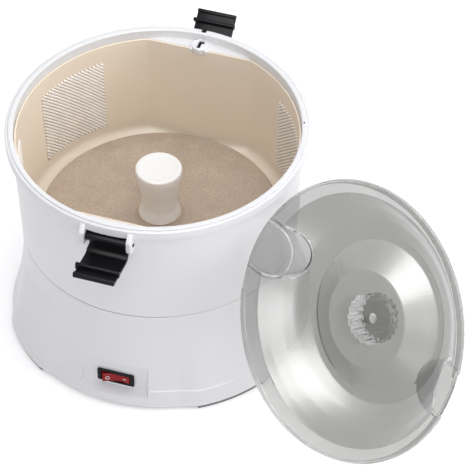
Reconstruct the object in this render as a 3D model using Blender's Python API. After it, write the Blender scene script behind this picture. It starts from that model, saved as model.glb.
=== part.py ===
"""Electric potato peeler: drum, turning disc, drive, base, latches and its clear lid.

Metres, +Z up. The turning axis of the disc is the Z axis. The origin is the middle of the
bottom cover's underside. The front, with the power switch, is towards -Y.
"""

from math import acos, asin, atan2, cos, degrees, hypot, pi, radians, sin, sqrt, tau

import bmesh
import bpy
from mathutils import Matrix, Vector

# Fits and fine detail
SEAT_GAP = 0.0003
RUNNING_GAP = 0.0008
CUT_OVERRUN = 0.004

# Roundness
BODY_STEPS = 48
LID_STEPS = 42
DISC_STEPS = 36
ROUND_STEPS = 24
SMALL_STEPS = 14
SCREW_STEPS = 10
SLOT_STEPS = 5

# Drum rim and wall
RIM_RADIUS = 0.120
RIM_TOP = 0.194
RIM_FLANGE_DEPTH = 0.009
RIM_CROWN_RADIUS = 0.1172
RIM_STEP = 0.0009
RIM_ROUND = 0.0024
LIP_ROUND = 0.0008
DRUM_TOP_RADIUS = 0.115
DRUM_FOOT_RADIUS = 0.1115
DRUM_WALL = 0.0018
LID_SEAT_DEPTH = 0.008
SHELF_THICKNESS = 0.002

# Seam between drum and base
SEAM_HEIGHT = 0.0913

# Liner
LINER_WALL = 0.0015
LINER_FLAT_DISTANCE = 0.1025
LINER_FLOOR_TOP = 0.0885
LINER_FLOOR = 0.002
LINER_CORNER = 0.0085
LINER_COLLAR_RADIUS = 0.012
LINER_COLLAR_WALL = 0.002
LINER_COLLAR_HEIGHT = 0.0019
LINER_LIP = 0.0035

# Abrasive panels on the liner
PANEL_CENTRE_ANGLES = (30, 150, 210, 330)
PANEL_ANGLE = 34.0
PANEL_STATIONS = 4
PANEL_RIM_DEPTH = 0.024
PANEL_BOTTOM = 0.102
PANEL_BACKING = 0.0009
RIB_HEIGHT = 0.0012
RIB_PITCH = 0.0046
RIB_EDGE_SHARE = 0.28

# Latches: two alike, at the front and at the rear
LATCH_TURN_ANGLES = {"front": -90.0, "rear": 90.0}
LATCH_OPEN_ANGLES = {"front": 173.0, "rear": 143.0}
LATCH_PIVOT_RADIUS = 0.119
LATCH_PIVOT_DEPTH = 0.014
LATCH_PIN_RADIUS = 0.0023
LATCH_PIN_LENGTH = 0.0382
EAR_THICKNESS = 0.0038
EAR_ROUND = 0.0052
CLIP_BARREL_RADIUS = 0.0037
CLIP_BARREL_LENGTH = 0.0286
CLIP_WIDTH = 0.034
CLIP_RIM_GAP = 0.0006
CLIP_WALL = 0.0028
CLIP_HEIGHT = 0.0186
CLIP_REACH = 0.0305
CLIP_LIP_INSET = 0.009
CLIP_LIP_THICKNESS = 0.0026
CLIP_LIP_DEPTH = 0.0045
CLIP_LIP_WIDTH = 0.037
CLIP_TIP_DEPTH = 0.0046
CLIP_CORNER = 0.003

# Lid interlock at the rear
BOSS_DISTANCE = 0.107
BOSS_RADIUS = 0.007
BOSS_RISE = 0.0022
BOSS_DEPTH = 0.010
INTERLOCK_HEAD_WIDTH = 0.0034
INTERLOCK_HEAD_LENGTH = 0.0082
INTERLOCK_HEAD_SINK = 0.0012
INTERLOCK_HEAD_DEPTH = 0.006
INTERLOCK_TRAVEL = 0.003
INTERLOCK_STEM_RADIUS = 0.0017
INTERLOCK_SWITCH_SIZE = (0.020, 0.0064, 0.010)
PLUNGER_RADIUS = 0.0013
PLUNGER_GRIP = 0.002
STOP_WIDTH = 0.0036
STOP_RADIAL_LENGTH = 0.0046
STOP_HEIGHT = 0.0066
STOP_RISE = 0.0006

# Base shell
BASE_WALL = 0.0024
BASE_FOOT_RADIUS = 0.1245
BASE_NECK_RADIUS = 0.1114
BASE_FLARE_TOP = 0.0805
BASE_FLARE_POWER = 1.65
BASE_EDGE_ROUND = 0.0012
LOBE_COUNT = 4
LOBE_HALF_ANGLE = 13.5
LOBE_BLEND_ANGLE = 5.0
LOBE_RISE = 0.003
LOBE_TOP = 0.064
DECK_TOP = 0.078
DECK_THICKNESS = 0.0022
SUPPORT_RING_RADIUS = 0.062
SUPPORT_RING_WALL = 0.002
DECK_BOSS_RADIUS = 0.014
DECK_BOSS_DEPTH = 0.014

# Flat panels sunk into the base: the switch at the front, the cord inlet at the rear
SUNK_PANEL_BOTTOM = 0.0078
SUNK_PANEL_TOP = 0.0368
SUNK_PANEL_EDGE = 0.0005
SWITCH_PANEL_DISTANCE = 0.113
SWITCH_PANEL_WIDTH = 0.054
INLET_PANEL_DISTANCE = 0.118
INLET_PANEL_WIDTH = 0.026
INLET_HEIGHT = 0.021

# Bottom cover, its screws and the feet
COVER_THICKNESS = 0.0024
COVER_MARGIN = 0.001
WELL_CIRCLE_RADIUS = 0.098
WELL_RADIUS = 0.0065
WELL_HEIGHT = 0.012
WELL_BORE_RADIUS = 0.0046
WELL_ROOF = 0.002
POST_RADIUS = 0.0046
SCREW_SHANK_RADIUS = 0.0016
SCREW_HEAD_RADIUS = 0.0036
SCREW_HEAD_HEIGHT = 0.0024
SCREW_GRIP = 0.011
FOOT_HEIGHT = 0.0035
FOOT_WIDTH = 0.008
FOOT_HALF_ANGLE = 13.0

# Chassis plate, spindle and disc
CHASSIS_BOTTOM = 0.024
CHASSIS_THICKNESS = 0.002
CHASSIS_LENGTH = 0.168
CHASSIS_WIDTH = 0.100
CHASSIS_BOSS_RADIUS = 0.005
CHASSIS_BOSS_INSET = 0.008
SPINDLE_RADIUS = 0.005
SPINDLE_THREAD_RADIUS = 0.004
SPINDLE_BOTTOM = 0.006
SPINDLE_SHOULDER_RADIUS = 0.008
SPINDLE_SHOULDER_HEIGHT = 0.0022
BUSH_RADIUS = 0.0085
BUSH_FLANGE_RADIUS = 0.0115
BUSH_FLANGE = 0.002
SEAL_HEIGHT = 0.003
DISC_RIM_GAP = 0.0009
DISC_UNDERSIDE = 0.0933
DISC_THICKNESS = 0.0025
DISC_RAMP_HEIGHT = 0.004
DISC_RAMPS = 3
DISC_BOSS_RADIUS = 0.020
DISC_BOSS_HEIGHT = 0.0052
HUB_TOP = 0.147
HUB_RADIUS = 0.0187
HUB_ROUND = 0.0014
HUB_WAIST_RADIUS = 0.0145
HUB_FOOT_RADIUS = 0.0175
HUB_ROOF = 0.016

# Motor and belt drive
MOTOR_DISTANCE = 0.060
MOTOR_RADIUS = 0.027
MOTOR_HEIGHT = 0.0417
MOTOR_CAP_HEIGHT = 0.005
MOTOR_CAP_ROUND = 0.002
MOTOR_SHAFT_RADIUS = 0.003
MOTOR_SHAFT_INSET = 0.008
PULLEY_BOTTOM = 0.008
PULLEY_HEIGHT = 0.0115
PULLEY_FLANGE = 0.0018
PULLEY_HUB_RADIUS = 0.010
PULLEY_RIM = 0.009
PULLEY_WEB = 0.005
SPINDLE_PULLEY_RADIUS = 0.0435
MOTOR_PULLEY_RADIUS = 0.008
PULLEY_FLANGE_RISE = 0.0025
BELT_THICKNESS = 0.0018

# Power switch
SWITCH_BEZEL = (0.031, 0.0126, 0.0018)
SWITCH_BODY = (0.0274, 0.0106, 0.018)
SWITCH_WINDOW = (0.0254, 0.0086)
SWITCH_DROP = 0.0036
ROCKER_GAP = 0.0004
ROCKER_PIVOT_DEPTH = 0.0012
ROCKER_END_RISE = 0.0046
ROCKER_MIDDLE_RISE = 0.0032
ROCKER_BACK = 0.0026
ROCKER_TILT_ANGLE = 9.0
ROCKER_WELL = 0.009

# Cord inlet
GLAND_RADIUS = 0.006
GLAND_BORE_RADIUS = 0.0034
GLAND_FLANGE_RADIUS = 0.0085
GLAND_FLANGE = 0.003
GLAND_LENGTH = 0.008

# Lid
LID_RADIUS = 0.1124
LID_SKIRT_FOOT_RADIUS = 0.1106
LID_SKIRT_HEIGHT = 0.007
LID_WALL = 0.0022
LID_SHOULDER_RADIUS = 0.0994
LID_SHOULDER_RISE = 0.003
LID_DOME_SHARES = ((0.10, 0.16), (0.35, 0.50), (0.65, 0.80))
LID_RIDGE_OUTER_RADIUS = 0.0675
LID_RIDGE_INNER_RADIUS = 0.061
LID_RIDGE_HEIGHT = 0.0325
LID_DISH_RADIUS = 0.0387
LID_DISH_HEIGHT = 0.018
LID_FUNNEL_SHARES = (0.3, 0.3)
LID_POCKET_RADIUS = 0.0205
LID_POCKET_CENTRE = 0.097
LID_POCKET_FLOOR = 0.0048
LID_POCKET_AXIS_ANGLE = -21.0
LID_RELIEF_DEPTH = 0.002
LID_RELIEF_WIDTHS = (0.078, 0.036)
LID_FACE_TURN_ANGLE = -20.5
LID_FACE_RISE_ANGLE = 40.2
LID_SIDE_SHIFT = 0.0115
KNOB_RADIUS = 0.021
KNOB_TOP_RADIUS = 0.0195
KNOB_TOP_HEIGHT = 0.0342
KNOB_FLUTES = 20
KNOB_FLUTE_DEPTH = 0.0011
KNOB_EDGE = 0.0015
KNOB_STEM_RADIUS = 0.004
KNOB_STEM_LENGTH = 0.006


def clear_scene():
    for item in list(bpy.data.objects):
        bpy.data.objects.remove(item, do_unlink=True)


def make_material(name, colour, roughness, metallic=0.0, transmission=0.0):
    made = bpy.data.materials.new(name)
    made.use_nodes = True
    shader = made.node_tree.nodes["Principled BSDF"]
    shader.inputs["Base Color"].default_value = (*colour, 1.0)
    shader.inputs["Roughness"].default_value = roughness
    shader.inputs["Metallic"].default_value = metallic
    shader.inputs["Transmission Weight"].default_value = transmission
    return made


def make_materials():
    return {
        "white": make_material("white_gloss_plastic", (0.80, 0.80, 0.84), 0.25),
        "beige": make_material("beige_liner_plastic", (0.66, 0.53, 0.41), 0.45),
        "hub": make_material("hub_plastic", (0.86, 0.85, 0.84), 0.35),
        "disc": make_material("disc_plastic", (0.55, 0.45, 0.36), 0.6),
        "black": make_material("black_plastic", (0.01, 0.01, 0.012), 0.35),
        "red": make_material("red_plastic", (0.55, 0.01, 0.01), 0.3),
        "rubber": make_material("grey_rubber", (0.18, 0.18, 0.18), 0.85),
        "steel": make_material("bright_steel", (0.56, 0.57, 0.58), 0.3, 1.0),
        "zinc": make_material("zinc_plate", (0.62, 0.64, 0.64), 0.45, 1.0),
        "bronze": make_material("bearing_bronze", (0.53, 0.36, 0.18), 0.4, 1.0),
        "clear": make_material("clear_plastic", (0.72, 0.74, 0.72), 0.05, 0.0, 0.9),
    }


def finish_mesh(name, builder, material):
    """Close the mesh under construction and make the object that shows it."""
    bmesh.ops.recalc_face_normals(builder, faces=builder.faces)
    mesh = bpy.data.meshes.new(name)
    builder.to_mesh(mesh)
    builder.free()
    mesh.shade_smooth()
    mesh.set_sharp_from_angle(angle=radians(35))
    if material:
        mesh.materials.append(material)
    made = bpy.data.objects.new(name, mesh)
    bpy.context.scene.collection.objects.link(made)
    return made


def full_turn(steps):
    return [tau * step / steps for step in range(steps)]


def shifted_turn(steps):
    """Even steps that start a quarter of a step round, clear of the corners of full_turn."""
    return [tau * (step + 1 / 4) / steps for step in range(steps)]


def turned(name, material, outline_at, angles):
    """A closed outline of (radius, height), which may change with the angle, round Z."""
    builder = bmesh.new()
    rows = []
    for angle in angles:
        row = []
        for index, (radius, height) in enumerate(outline_at(angle)):
            if radius == 0 and rows:
                row.append(rows[0][index])
            else:
                row.append(builder.verts.new((radius * cos(angle), radius * sin(angle), height)))
        rows.append(row)
    for here, following in zip(rows, rows[1:] + rows[:1]):
        for first in range(len(here)):
            second = (first + 1) % len(here)
            corners = (here[first], following[first], following[second], here[second])
            corners = tuple(dict.fromkeys(corners))
            if len(corners) > 2:
                builder.faces.new(corners)
    return finish_mesh(name, builder, material)


def turned_plain(name, material, outline, steps):
    return turned(name, material, lambda angle: outline, full_turn(steps))


def prism(name, material, outline, low, high, place=Matrix.Identity(4)):
    """An outline of (x, y) from height low to height high, then moved by a matrix."""
    builder = bmesh.new()
    floor = [builder.verts.new(place @ Vector((x, y, low))) for x, y in outline]
    roof = [builder.verts.new(place @ Vector((x, y, high))) for x, y in outline]
    builder.faces.new(floor)
    builder.faces.new(roof)
    for first in range(len(outline)):
        second = (first + 1) % len(outline)
        builder.faces.new((floor[first], floor[second], roof[second], roof[first]))
    return finish_mesh(name, builder, material)


def block(name, material, low, high):
    outline = ((low[0], low[1]), (high[0], low[1]), (high[0], high[1]), (low[0], high[1]))
    return prism(name, material, outline, low[2], high[2])


def circle(radius, steps, centre=(0, 0)):
    turns = shifted_turn(steps)
    return [(centre[0] + radius * cos(a), centre[1] + radius * sin(a)) for a in turns]


def stadium(width, length, steps):
    """A slot outline, long along Y, with round ends."""
    radius = width / 2
    straight = length / 2 - radius
    points = []
    for step in range(steps + 1):
        angle = pi * step / steps
        points.append((radius * cos(angle), straight + radius * sin(angle)))
    for step in range(steps + 1):
        angle = pi + pi * step / steps
        points.append((radius * cos(angle), -straight + radius * sin(angle)))
    return points


def rod(name, material, radius, low, high, centre=(0, 0), steps=SMALL_STEPS):
    return prism(name, material, circle(radius, steps, centre), low, high)


def combine(body, tool, operation="DIFFERENCE"):
    """Join a helper shape to a body, or cut it away; the helper itself isn't a piece."""
    step = body.modifiers.new(tool.name, "BOOLEAN")
    step.operation = operation
    step.solver = "EXACT"
    step.object = tool
    tool.hide_render = True
    tool.display_type = "WIRE"


def ramp(value):
    """0 to 1 with level ends."""
    value = max(0.0, min(1.0, value))
    return value * value * (3 - 2 * value)


# Shared surfaces of drum, liner and base


def drum_outside(height):
    top = RIM_TOP - RIM_FLANGE_DEPTH
    share = (height - SEAM_HEIGHT) / (top - SEAM_HEIGHT)
    return DRUM_FOOT_RADIUS + (DRUM_TOP_RADIUS - DRUM_FOOT_RADIUS) * min(share, 1)


def drum_inside(height):
    return drum_outside(height) - DRUM_WALL


def liner_outside(height):
    return drum_inside(height) - SEAT_GAP


def liner_inside(height):
    return liner_outside(height) - LINER_WALL


def seat_height():
    return RIM_TOP - LID_SEAT_DEPTH


def liner_flat_inset():
    return liner_inside(seat_height()) - LINER_FLAT_DISTANCE


def flattened(angle, radius, inset):
    """The radius at this angle of a circle cut by two flats square to Y."""
    across = abs(sin(angle)) * radius
    if across <= radius - inset:
        return radius
    return (radius - inset) / abs(sin(angle))


def latch_pivot_height():
    return RIM_TOP - LATCH_PIVOT_DEPTH


def panel_top():
    return RIM_TOP - PANEL_RIM_DEPTH


def lobe_share(angle):
    """1 over each foot, 0 between the feet."""
    spacing = 360 / LOBE_COUNT
    off_centre = abs((degrees(angle) % spacing) - spacing / 2)
    return ramp((LOBE_HALF_ANGLE + LOBE_BLEND_ANGLE - off_centre) / LOBE_BLEND_ANGLE)


def sunk_panels():
    """Each flat's side of the Y axis, its distance from the turning axis and its width."""
    switch = (-1, SWITCH_PANEL_DISTANCE, SWITCH_PANEL_WIDTH)
    inlet = (1, INLET_PANEL_DISTANCE, INLET_PANEL_WIDTH)
    return switch, inlet


def panel_half_angle(distance, width):
    return atan2(width / 2, distance)


def base_outside(angle, height):
    """The base flares towards the floor, swells over the feet and has two sunk flats."""
    share = max(0.0, 1 - height / BASE_FLARE_TOP) ** BASE_FLARE_POWER
    radius = BASE_NECK_RADIUS + (BASE_FOOT_RADIUS - BASE_NECK_RADIUS) * share
    radius += LOBE_RISE * lobe_share(angle) * sqrt(max(0.0, 1 - (height / LOBE_TOP) ** 2))
    if SUNK_PANEL_BOTTOM <= height <= SUNK_PANEL_TOP:
        for side, distance, width in sunk_panels():
            towards = sin(angle) * side
            reach = panel_half_angle(distance, width + SUNK_PANEL_EDGE)
            if towards >= cos(reach):
                radius = min(radius, distance / towards)
    return radius


def body_angles(extra):
    """Even steps round the body, with the corners that a piece needs put in."""
    plain = full_turn(BODY_STEPS)
    kept = [a for a in plain if all(abs(sin((a - b) / 2)) > sin(tau / BODY_STEPS / 8) for b in extra)]
    return sorted(kept + [b % tau for b in extra])


# Drum


def drum_outline(angle):
    seam = SEAM_HEIGHT + SEAT_GAP / 2
    flange = RIM_TOP - RIM_FLANGE_DEPTH
    band_top = RIM_TOP - RIM_STEP
    recess = drum_inside(flange)
    return (
        (drum_outside(seam), seam),
        (DRUM_TOP_RADIUS, flange),
        (RIM_RADIUS - LIP_ROUND, flange),
        (RIM_RADIUS, flange + LIP_ROUND),
        (RIM_RADIUS, band_top - RIM_ROUND),
        (RIM_RADIUS - RIM_ROUND / 3, band_top - RIM_ROUND / 3),
        (RIM_CROWN_RADIUS, band_top),
        (RIM_CROWN_RADIUS, RIM_TOP),
        (recess + LIP_ROUND, RIM_TOP),
        (recess, RIM_TOP - LIP_ROUND),
        (recess, flange),
        (drum_inside(seam), seam),
    )


def ear_places():
    inner = CLIP_BARREL_LENGTH / 2 + SEAT_GAP
    return ((inner, inner + EAR_THICKNESS), (-inner - EAR_THICKNESS, -inner))


def ear_outline(middle):
    """Side view of one hinge ear: distance from the axis of the drum, height."""
    flange = RIM_TOP - RIM_FLANGE_DEPTH
    pivot = latch_pivot_height()
    low = pivot - EAR_ROUND
    wall_middle = drum_outside(pivot) - DRUM_WALL / 2
    root = sqrt(wall_middle ** 2 - middle ** 2)
    points = [(root, low), (LATCH_PIVOT_RADIUS, low)]
    for step in (1, 2, 3, 4):
        angle = -pi / 2 + step * pi / 6
        out = LATCH_PIVOT_RADIUS + EAR_ROUND * cos(angle)
        points.append((out, pivot + EAR_ROUND * sin(angle)))
    points.append((RIM_RADIUS, flange + LIP_ROUND))
    points.append((root, flange + LIP_ROUND))
    return points


def side_view(azimuth):
    """Carries (distance, height, sideways) into the drum's place at this azimuth."""
    turn = Matrix.Rotation(radians(azimuth), 4, "Z")
    axes = Matrix(((1, 0, 0, 0), (0, 0, -1, 0), (0, 1, 0, 0), (0, 0, 0, 1)))
    return turn @ axes


def make_drum(look):
    drum = turned("drum_shell", look["white"], drum_outline, body_angles([]))
    shelf_y = LINER_FLAT_DISTANCE + LINER_WALL + SEAT_GAP
    shelf_radius = drum_outside(seat_height()) - DRUM_WALL / 2
    half = acos(shelf_y / shelf_radius)
    shelf_steps = 12
    for latch, azimuth in LATCH_TURN_ANGLES.items():
        arc = [radians(azimuth) + half * (2 * k / shelf_steps - 1) for k in range(shelf_steps + 1)]
        outline = [(shelf_radius * cos(a), shelf_radius * sin(a)) for a in arc]
        seat = seat_height()
        shelf = prism("guide_shelf_" + latch, None, outline, seat - SHELF_THICKNESS, seat)
        combine(drum, shelf, "UNION")
        for number, (low, high) in enumerate(ear_places()):
            outline = ear_outline((low + high) / 2)
            label = "guide_ear_%s_%d" % (latch, number)
            combine(drum, prism(label, None, outline, low, high, side_view(azimuth)), "UNION")
    boss_top = seat_height() + BOSS_RISE
    boss_bottom = seat_height() - BOSS_DEPTH
    boss = rod("guide_boss", None, BOSS_RADIUS, boss_bottom, boss_top, (0, BOSS_DISTANCE))
    combine(drum, boss, "UNION")
    for latch, azimuth in LATCH_TURN_ANGLES.items():
        centre = (LATCH_PIVOT_RADIUS, latch_pivot_height())
        bore = circle(LATCH_PIN_RADIUS + SEAT_GAP, SMALL_STEPS, centre)
        reach = LATCH_PIN_LENGTH / 2 + CUT_OVERRUN
        tool = prism("guide_pin_bore_" + latch, None, bore, -reach, reach, side_view(azimuth))
        combine(drum, tool)
    slot_width = INTERLOCK_HEAD_WIDTH + 2 * SEAT_GAP
    slot = stadium(slot_width, INTERLOCK_HEAD_LENGTH + 2 * SEAT_GAP, SLOT_STEPS)
    to_boss = Matrix.Translation((0, BOSS_DISTANCE, 0))
    low, high = boss_bottom - CUT_OVERRUN, boss_top + CUT_OVERRUN
    combine(drum, prism("guide_interlock_slot", None, slot, low, high, to_boss))
    notch_width = STOP_WIDTH / 2 + SEAT_GAP
    notch_low = (-notch_width, stop_inner_distance() - SEAT_GAP, stop_bottom() - SEAT_GAP)
    notch_high = (notch_width, RIM_RADIUS + CUT_OVERRUN, RIM_TOP + CUT_OVERRUN)
    combine(drum, block("guide_stop_notch", None, notch_low, notch_high))
    return drum


def stop_bottom():
    return RIM_TOP + STOP_RISE - STOP_HEIGHT


def stop_inner_distance():
    return RIM_RADIUS - STOP_RADIAL_LENGTH


def make_rim_stop(look):
    half = STOP_WIDTH / 2
    low = (-half, stop_inner_distance(), stop_bottom())
    high = (half, RIM_RADIUS, RIM_TOP + STOP_RISE)
    return block("rear_rim_stop", look["black"], low, high)


# Liner and its abrasive panels


def liner_outline(angle):
    top = seat_height()
    floor_bottom = LINER_FLOOR_TOP - LINER_FLOOR
    corner_top = LINER_FLOOR_TOP + LINER_CORNER
    inset = liner_flat_inset()
    collar_inner = LINER_COLLAR_RADIUS - LINER_COLLAR_WALL
    collar_top = LINER_FLOOR_TOP + LINER_COLLAR_HEIGHT
    lip_radius = collar_inner - LINER_LIP
    bend = LINER_CORNER * (1 - sqrt(1 / 2))
    inner_corner = liner_inside(corner_top)
    outer_corner = liner_outside(corner_top)
    wall = (
        (liner_outside(top), top),
        (liner_inside(top), top),
        (inner_corner, corner_top),
        (inner_corner - bend, LINER_FLOOR_TOP + bend),
        (inner_corner - LINER_CORNER, LINER_FLOOR_TOP),
    )
    middle = (
        (LINER_COLLAR_RADIUS, LINER_FLOOR_TOP),
        (LINER_COLLAR_RADIUS, collar_top),
        (collar_inner, collar_top),
        (collar_inner, floor_bottom + LINER_FLOOR / 2),
        (lip_radius, floor_bottom + LINER_FLOOR / 2),
        (lip_radius, floor_bottom),
    )
    outside = (
        (outer_corner - LINER_CORNER, floor_bottom),
        (outer_corner - bend, LINER_FLOOR_TOP + bend - LINER_FLOOR / 2),
        (outer_corner, corner_top),
    )
    points = [(flattened(angle, radius, inset), height) for radius, height in wall]
    points += list(middle)
    points += [(flattened(angle, radius, inset), height) for radius, height in outside]
    return points


def make_liner(look):
    radius = liner_inside(seat_height())
    corner = asin(1 - liner_flat_inset() / radius)
    corners = [corner, pi - corner, pi + corner, -corner]
    liner = turned("drum_liner", look["beige"], liner_outline, body_angles(corners))
    low = seat_height() - BOSS_DEPTH - SEAT_GAP
    notch_radius = BOSS_RADIUS + SEAT_GAP
    centre = (0, BOSS_DISTANCE)
    top = seat_height() + CUT_OVERRUN
    combine(liner, rod("guide_boss_notch", None, notch_radius, low, top, centre))
    return liner


def make_abrasive_panel(number, centre, look):
    """Ribs at 45 degrees on a thin backing, laid out flat and then wrapped on the liner."""
    climb = 1 if cos(radians(centre)) < 0 else -1
    climb = climb if sin(radians(centre)) > 0 else -climb
    top = panel_top()
    reference = liner_inside((top + PANEL_BOTTOM) / 2)
    half = radians(PANEL_ANGLE) / 2
    stations = [half * (2 * k / PANEL_STATIONS - 1) for k in range(PANEL_STATIONS + 1)]
    builder = bmesh.new()
    flat = {}
    for index, station in enumerate(stations):
        for side, height in enumerate((PANEL_BOTTOM, top)):
            flat[index, side] = builder.verts.new((station * reference, height, 0))
    for index in range(PANEL_STATIONS):
        corners = (flat[index, 0], flat[index + 1, 0], flat[index + 1, 1], flat[index, 1])
        builder.faces.new(corners)
    reach = half * reference
    first = PANEL_BOTTOM - reach
    count = int((top - PANEL_BOTTOM + 2 * reach) / RIB_PITCH) + 1
    for rib in range(count):
        for share in (0, RIB_EDGE_SHARE):
            level = first + (rib + share) * RIB_PITCH
            everything = list(builder.verts) + list(builder.edges) + list(builder.faces)
            bmesh.ops.bisect_plane(
                builder, geom=everything, dist=RIB_PITCH / 1000,
                plane_co=(0, level, 0), plane_no=(-climb, 1, 0),
            )

    def rib_height(x, y):
        phase = ((y - climb * x - first) / RIB_PITCH) % 1
        if phase < RIB_EDGE_SHARE:
            return RIB_HEIGHT * phase / RIB_EDGE_SHARE
        return RIB_HEIGHT * (1 - phase) / (1 - RIB_EDGE_SHARE)

    def wrapped(x, y, depth):
        """A flat point carried to the liner; it runs straight between two stations."""
        angle = x / reference
        index = min(PANEL_STATIONS - 1, max(0, int((angle + half) / (2 * half) * PANEL_STATIONS)))
        share = (angle - stations[index]) / (stations[index + 1] - stations[index])
        radius = liner_inside(y) - SEAT_GAP - sagitta - depth
        ends = [radians(centre) + stations[index], radians(centre) + stations[index + 1]]
        x0, y0 = radius * cos(ends[0]), radius * sin(ends[0])
        x1, y1 = radius * cos(ends[1]), radius * sin(ends[1])
        return Vector((x0 + (x1 - x0) * share, y0 + (y1 - y0) * share, y))

    sagitta = reference * (1 - cos(pi / BODY_STEPS))
    tiny = RIB_PITCH / 100
    sheet = list(builder.verts)
    places = {vert: vert.co.copy() for vert in sheet}
    backs = {}
    for index, station in enumerate(stations):
        for side, height in enumerate((PANEL_BOTTOM, top)):
            backs[index, side] = builder.verts.new(wrapped(station * reference, height, 0))
    for index in range(PANEL_STATIONS):
        builder.faces.new((backs[index, 0], backs[index, 1], backs[index + 1, 1], backs[index + 1, 0]))
        left, right = stations[index] * reference, stations[index + 1] * reference
        for side, height in enumerate((PANEL_BOTTOM, top)):
            run = [v for v in sheet if abs(places[v].y - height) < tiny]
            run = [v for v in run if left - tiny < places[v].x < right + tiny]
            run.sort(key=lambda v: places[v].x)
            builder.faces.new(run + [backs[index + 1, side], backs[index, side]])
    for index in (0, PANEL_STATIONS):
        run = [v for v in sheet if abs(places[v].x - stations[index] * reference) < tiny]
        run.sort(key=lambda v: places[v].y)
        builder.faces.new(run + [backs[index, 1], backs[index, 0]])
    for vert in sheet:
        flat_place = places[vert]
        depth = PANEL_BACKING + rib_height(flat_place.x, flat_place.y)
        vert.co = wrapped(flat_place.x, flat_place.y, depth)
    return finish_mesh("abrasive_panel_%d" % number, builder, look["beige"])


# Latches


def clip_outline():
    """Side view of a closed clip about its pivot: inward distance, height."""
    inner = -(RIM_RADIUS + CLIP_RIM_GAP - LATCH_PIVOT_RADIUS)
    outer = inner - CLIP_WALL
    under = CLIP_HEIGHT - CLIP_WALL
    lip_end = CLIP_REACH - CLIP_LIP_INSET
    lip_start = lip_end - CLIP_LIP_THICKNESS
    tip_start = CLIP_REACH - CLIP_LIP_THICKNESS
    foot = sqrt(CLIP_BARREL_RADIUS ** 2 - inner ** 2)
    return (
        (inner, -foot / 2),
        (inner, under - CLIP_CORNER / 2),
        (inner + CLIP_CORNER / 2, under),
        (lip_start, under),
        (lip_start + CLIP_LIP_THICKNESS / 3, under - CLIP_LIP_DEPTH),
        (lip_end, under - CLIP_LIP_DEPTH),
        (lip_end, under),
        (tip_start, under),
        (tip_start, CLIP_HEIGHT - CLIP_TIP_DEPTH),
        (CLIP_REACH, CLIP_HEIGHT - CLIP_TIP_DEPTH),
        (CLIP_REACH, CLIP_HEIGHT),
        (outer + CLIP_CORNER, CLIP_HEIGHT),
        (outer, CLIP_HEIGHT - CLIP_CORNER),
        (outer, CLIP_BARREL_RADIUS + RUNNING_GAP),
        (-CLIP_BARREL_RADIUS, 0),
    )


def make_clip(latch, look):
    azimuth = LATCH_TURN_ANGLES[latch]
    opened = LATCH_OPEN_ANGLES[latch]
    upright = Matrix(((-1, 0, 0, 0), (0, 0, -1, 0), (0, 1, 0, 0), (0, 0, 0, 1)))
    half = CLIP_WIDTH / 2
    clip = prism(latch + "_clip", look["black"], clip_outline(), -half, half, upright)
    under = CLIP_HEIGHT - CLIP_WALL
    lip_end = CLIP_REACH - CLIP_LIP_INSET
    lip = (
        (lip_end - CLIP_LIP_THICKNESS * 2 / 3, under - CLIP_LIP_DEPTH),
        (lip_end, under - CLIP_LIP_DEPTH),
        (lip_end, under),
        (lip_end - CLIP_LIP_THICKNESS, under),
    )
    half_lip = CLIP_LIP_WIDTH / 2
    barrel = circle(CLIP_BARREL_RADIUS, SMALL_STEPS)
    pivot = latch_pivot_height()
    ear_root = LATCH_PIVOT_RADIUS - drum_outside(pivot - EAR_ROUND)
    ear_room = circle(hypot(ear_root, EAR_ROUND) + RUNNING_GAP, SMALL_STEPS)
    half_barrel = CLIP_BARREL_LENGTH / 2
    bore = circle(LATCH_PIN_RADIUS + SEAT_GAP, SMALL_STEPS)
    helpers = (
        ("lip", lip, -half_lip, half_lip, "UNION"),
        ("room_left", ear_room, half_barrel, half + CUT_OVERRUN, "DIFFERENCE"),
        ("room_right", ear_room, -half - CUT_OVERRUN, -half_barrel, "DIFFERENCE"),
        ("barrel", barrel, -half_barrel, half_barrel, "UNION"),
        ("bore", bore, -half - CUT_OVERRUN, half + CUT_OVERRUN, "DIFFERENCE"),
    )
    place = Matrix.Translation(Vector((LATCH_PIVOT_RADIUS, 0, pivot)))
    swing = Matrix.Rotation(radians(opened), 4, "Y")
    place = Matrix.Rotation(radians(azimuth), 4, "Z") @ place @ swing
    clip.matrix_world = place
    for label, outline, low, high, operation in helpers:
        tool = prism("guide_%s_%s" % (latch, label), None, outline, low, high, upright)
        tool.matrix_world = place
        combine(clip, tool, operation)
    pin = circle(LATCH_PIN_RADIUS, SMALL_STEPS, (LATCH_PIVOT_RADIUS, pivot))
    reach = LATCH_PIN_LENGTH / 2
    prism(latch + "_clip_pin", look["black"], pin, -reach, reach, side_view(azimuth))


# Lid interlock


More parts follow.
